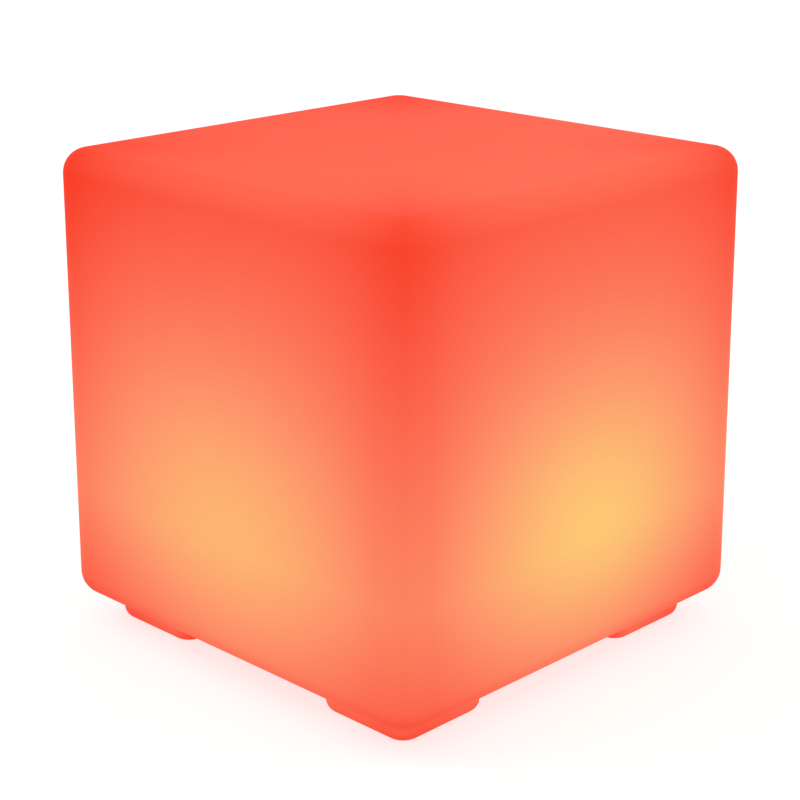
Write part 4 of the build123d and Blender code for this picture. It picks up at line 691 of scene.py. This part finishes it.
# %% [markdown]
# ## Clear and frosted pieces
#
# The light pipe is clear acrylic. The cover over the lamp post is polycarbonate, frosted so that the
# eighteen chips melt into one source; it is why the walls show a soft pool and not eighteen dots. A glass
# shader would refract too, but the Principled shader does it as well and is kept when the model is
# exported. The frost is far finer than a pixel, so only its slow changes in roughness are drawn.

# %% Acrylic, polycarbonate and lamps
FROST_SPREAD = 0.05  # how far the roughness strays either way


def clear_plastic(name, hex_colour, roughness, transmission, frost_mm):
    """Clear or frosted plastic; a rough one scatters what passes through it."""
    material, tree, shader, place = new_material(
        name, {"IOR": 1.49, "Transmission Weight": transmission, "Base Color": linear(hex_colour)}
    )
    frost = add_node(
        tree, "ShaderNodeTexNoise", inputs={"Vector": place, "Scale": 1 / (frost_mm * MM), "Detail": 2.0}
    ).outputs["Fac"]
    gloss = add_node(
        tree, "ShaderNodeMapRange",
        inputs={"Value": frost, "To Min": roughness - FROST_SPREAD, "To Max": roughness + FROST_SPREAD},
    )
    fill(tree, shader, {"Roughness": gloss})
    return material


# acrylic, moulded and polished: the clearest of the plastics
paint(
    clear_plastic("clear_acrylic", "#EEF4F2", roughness=0.06, transmission=0.9, frost_mm=2.0),
    "indicator_lens",
)
# epoxy, cast red round the indicator's chip: clear, with a colour of its own
paint(
    clear_plastic("tinted_epoxy", "#C8594A", roughness=0.12, transmission=0.6, frost_mm=1.0),
    "indicator_led",
)
# polycarbonate from a blasted mould: half of the light goes through it, all of it scattered
paint(
    clear_plastic("frosted_polycarbonate", "#F2F2F0", roughness=0.55, transmission=0.5, frost_mm=1.0),
    "lamp_cover",
)
# resin full of yellow phosphor, dropped onto each chip: a pale yellow, smooth as a drop dries
paint(moulded("phosphor_resin", "#E8D9A0", roughness=0.35, grain_mm=0.4, grain_depth=0.2), "light_chips")

# %% [markdown]
# ## The mark on the button
#
# A bare button tells nobody what it does, so such buttons carry the ring and stroke that mean power
# everywhere. It is a raised line 0.5 mm wide that follows the hollow of the button. A bump could draw it,
# but a finger feels it, and the exported mesh should have it, so it is built: points are laid along the
# line, lifted onto the hollow, and joined into a low ridge. The ridge's section has four corners: two at
# its foot, sunk a little into the button, and two on its flat crown.

# %% The line of the mark
button_low, button_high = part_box("button_cap")
BUTTON_MIDDLE = (button_low + button_high) / 2
BUTTON_FACE_Z = button_low.z
DISH_RADIUS = 6.0 * MM  # the hollow's rim
DISH_DEPTH = 0.6 * MM
RING_RADIUS = 2.3 * MM
RING_GAP = math.radians(38)  # half of the ring's opening
RING_STEPS = 48
STROKE_FROM, STROKE_TO = 0.25, 1.25  # the stroke's ends, in radii of the ring
STROKE_STEPS = 8

ring_points = []
for step in range(RING_STEPS + 1):
    angle = math.pi / 2 + RING_GAP + (math.tau - 2 * RING_GAP) * step / RING_STEPS
    direction = (math.cos(angle), math.sin(angle))
    ring_points.append((RING_RADIUS * direction[0], RING_RADIUS * direction[1], direction))
stroke_points = []
for step in range(STROKE_STEPS + 1):
    reach = STROKE_FROM + (STROKE_TO - STROKE_FROM) * step / STROKE_STEPS
    stroke_points.append((0, RING_RADIUS * reach, (1, 0)))
print("mark:", len(ring_points), "points in the ring,", len(stroke_points), "in the stroke")

# %% The raised ridge
LINE_WIDTH = 0.5 * MM
LINE_RISE = 0.18 * MM
LINE_ROOT = 0.05 * MM
FOOT, CROWN = 0.5, 0.3  # half of the ridge at its foot and on its crown, in widths of the line
RIDGE_SECTION = ((-FOOT, -LINE_ROOT), (-CROWN, LINE_RISE), (CROWN, LINE_RISE), (FOOT, -LINE_ROOT))


def hollow_z(x, y):
    """Height of the button's hollow face at a place beside its middle."""
    reach = min(math.hypot(x, y) / DISH_RADIUS, 1.0)
    return BUTTON_FACE_Z + DISH_DEPTH * (1 - reach * reach)


def add_ridge(points, corners, faces):
    """Add a closed ridge along a line of points, each a place and a sideways direction."""
    start = len(corners)
    around = len(RIDGE_SECTION)
    for x, y, side in points:
        for offset, rise in RIDGE_SECTION:
            at_x = x + side[0] * offset * LINE_WIDTH
            at_y = y + side[1] * offset * LINE_WIDTH
            corners.append((BUTTON_MIDDLE.x + at_x, BUTTON_MIDDLE.y + at_y, hollow_z(at_x, at_y) - rise))
    for first in range(start, len(corners) - around, around):
        second = first + around
        for step in range(around):
            following = (step + 1) % around
            faces.append((first + step, second + step, second + following, first + following))
    faces.append(tuple(start + step for step in range(around)))
    faces.append(tuple(len(corners) - 1 - step for step in range(around)))


mark_corners = []
mark_faces = []
for line in (ring_points, stroke_points):
    add_ridge(line, mark_corners, mark_faces)
mark_mesh = bpy.data.meshes.new("button_mark")
mark_mesh.from_pydata(mark_corners, [], mark_faces)
mark_mesh.update()
button_mark = bpy.data.objects.new("button_mark", mark_mesh)
bpy.context.scene.collection.objects.link(button_mark)
# pad-printed ink on the crown of the line: grey, smooth and half glossy
mark_mesh.materials.append(
    moulded("grey_pad_print", "#6D6C69", roughness=0.35, grain_mm=0.4, grain_depth=0.1)
)
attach(button_mark, "button")
print("mark:", len(mark_corners), "corners,", len(mark_faces), "faces")

# %% [markdown]
# ## The size of the measured object
#
# The box of the measured object is printed.

# %% Print the measured box
print("cad", [list(corner) for corner in cad_box])
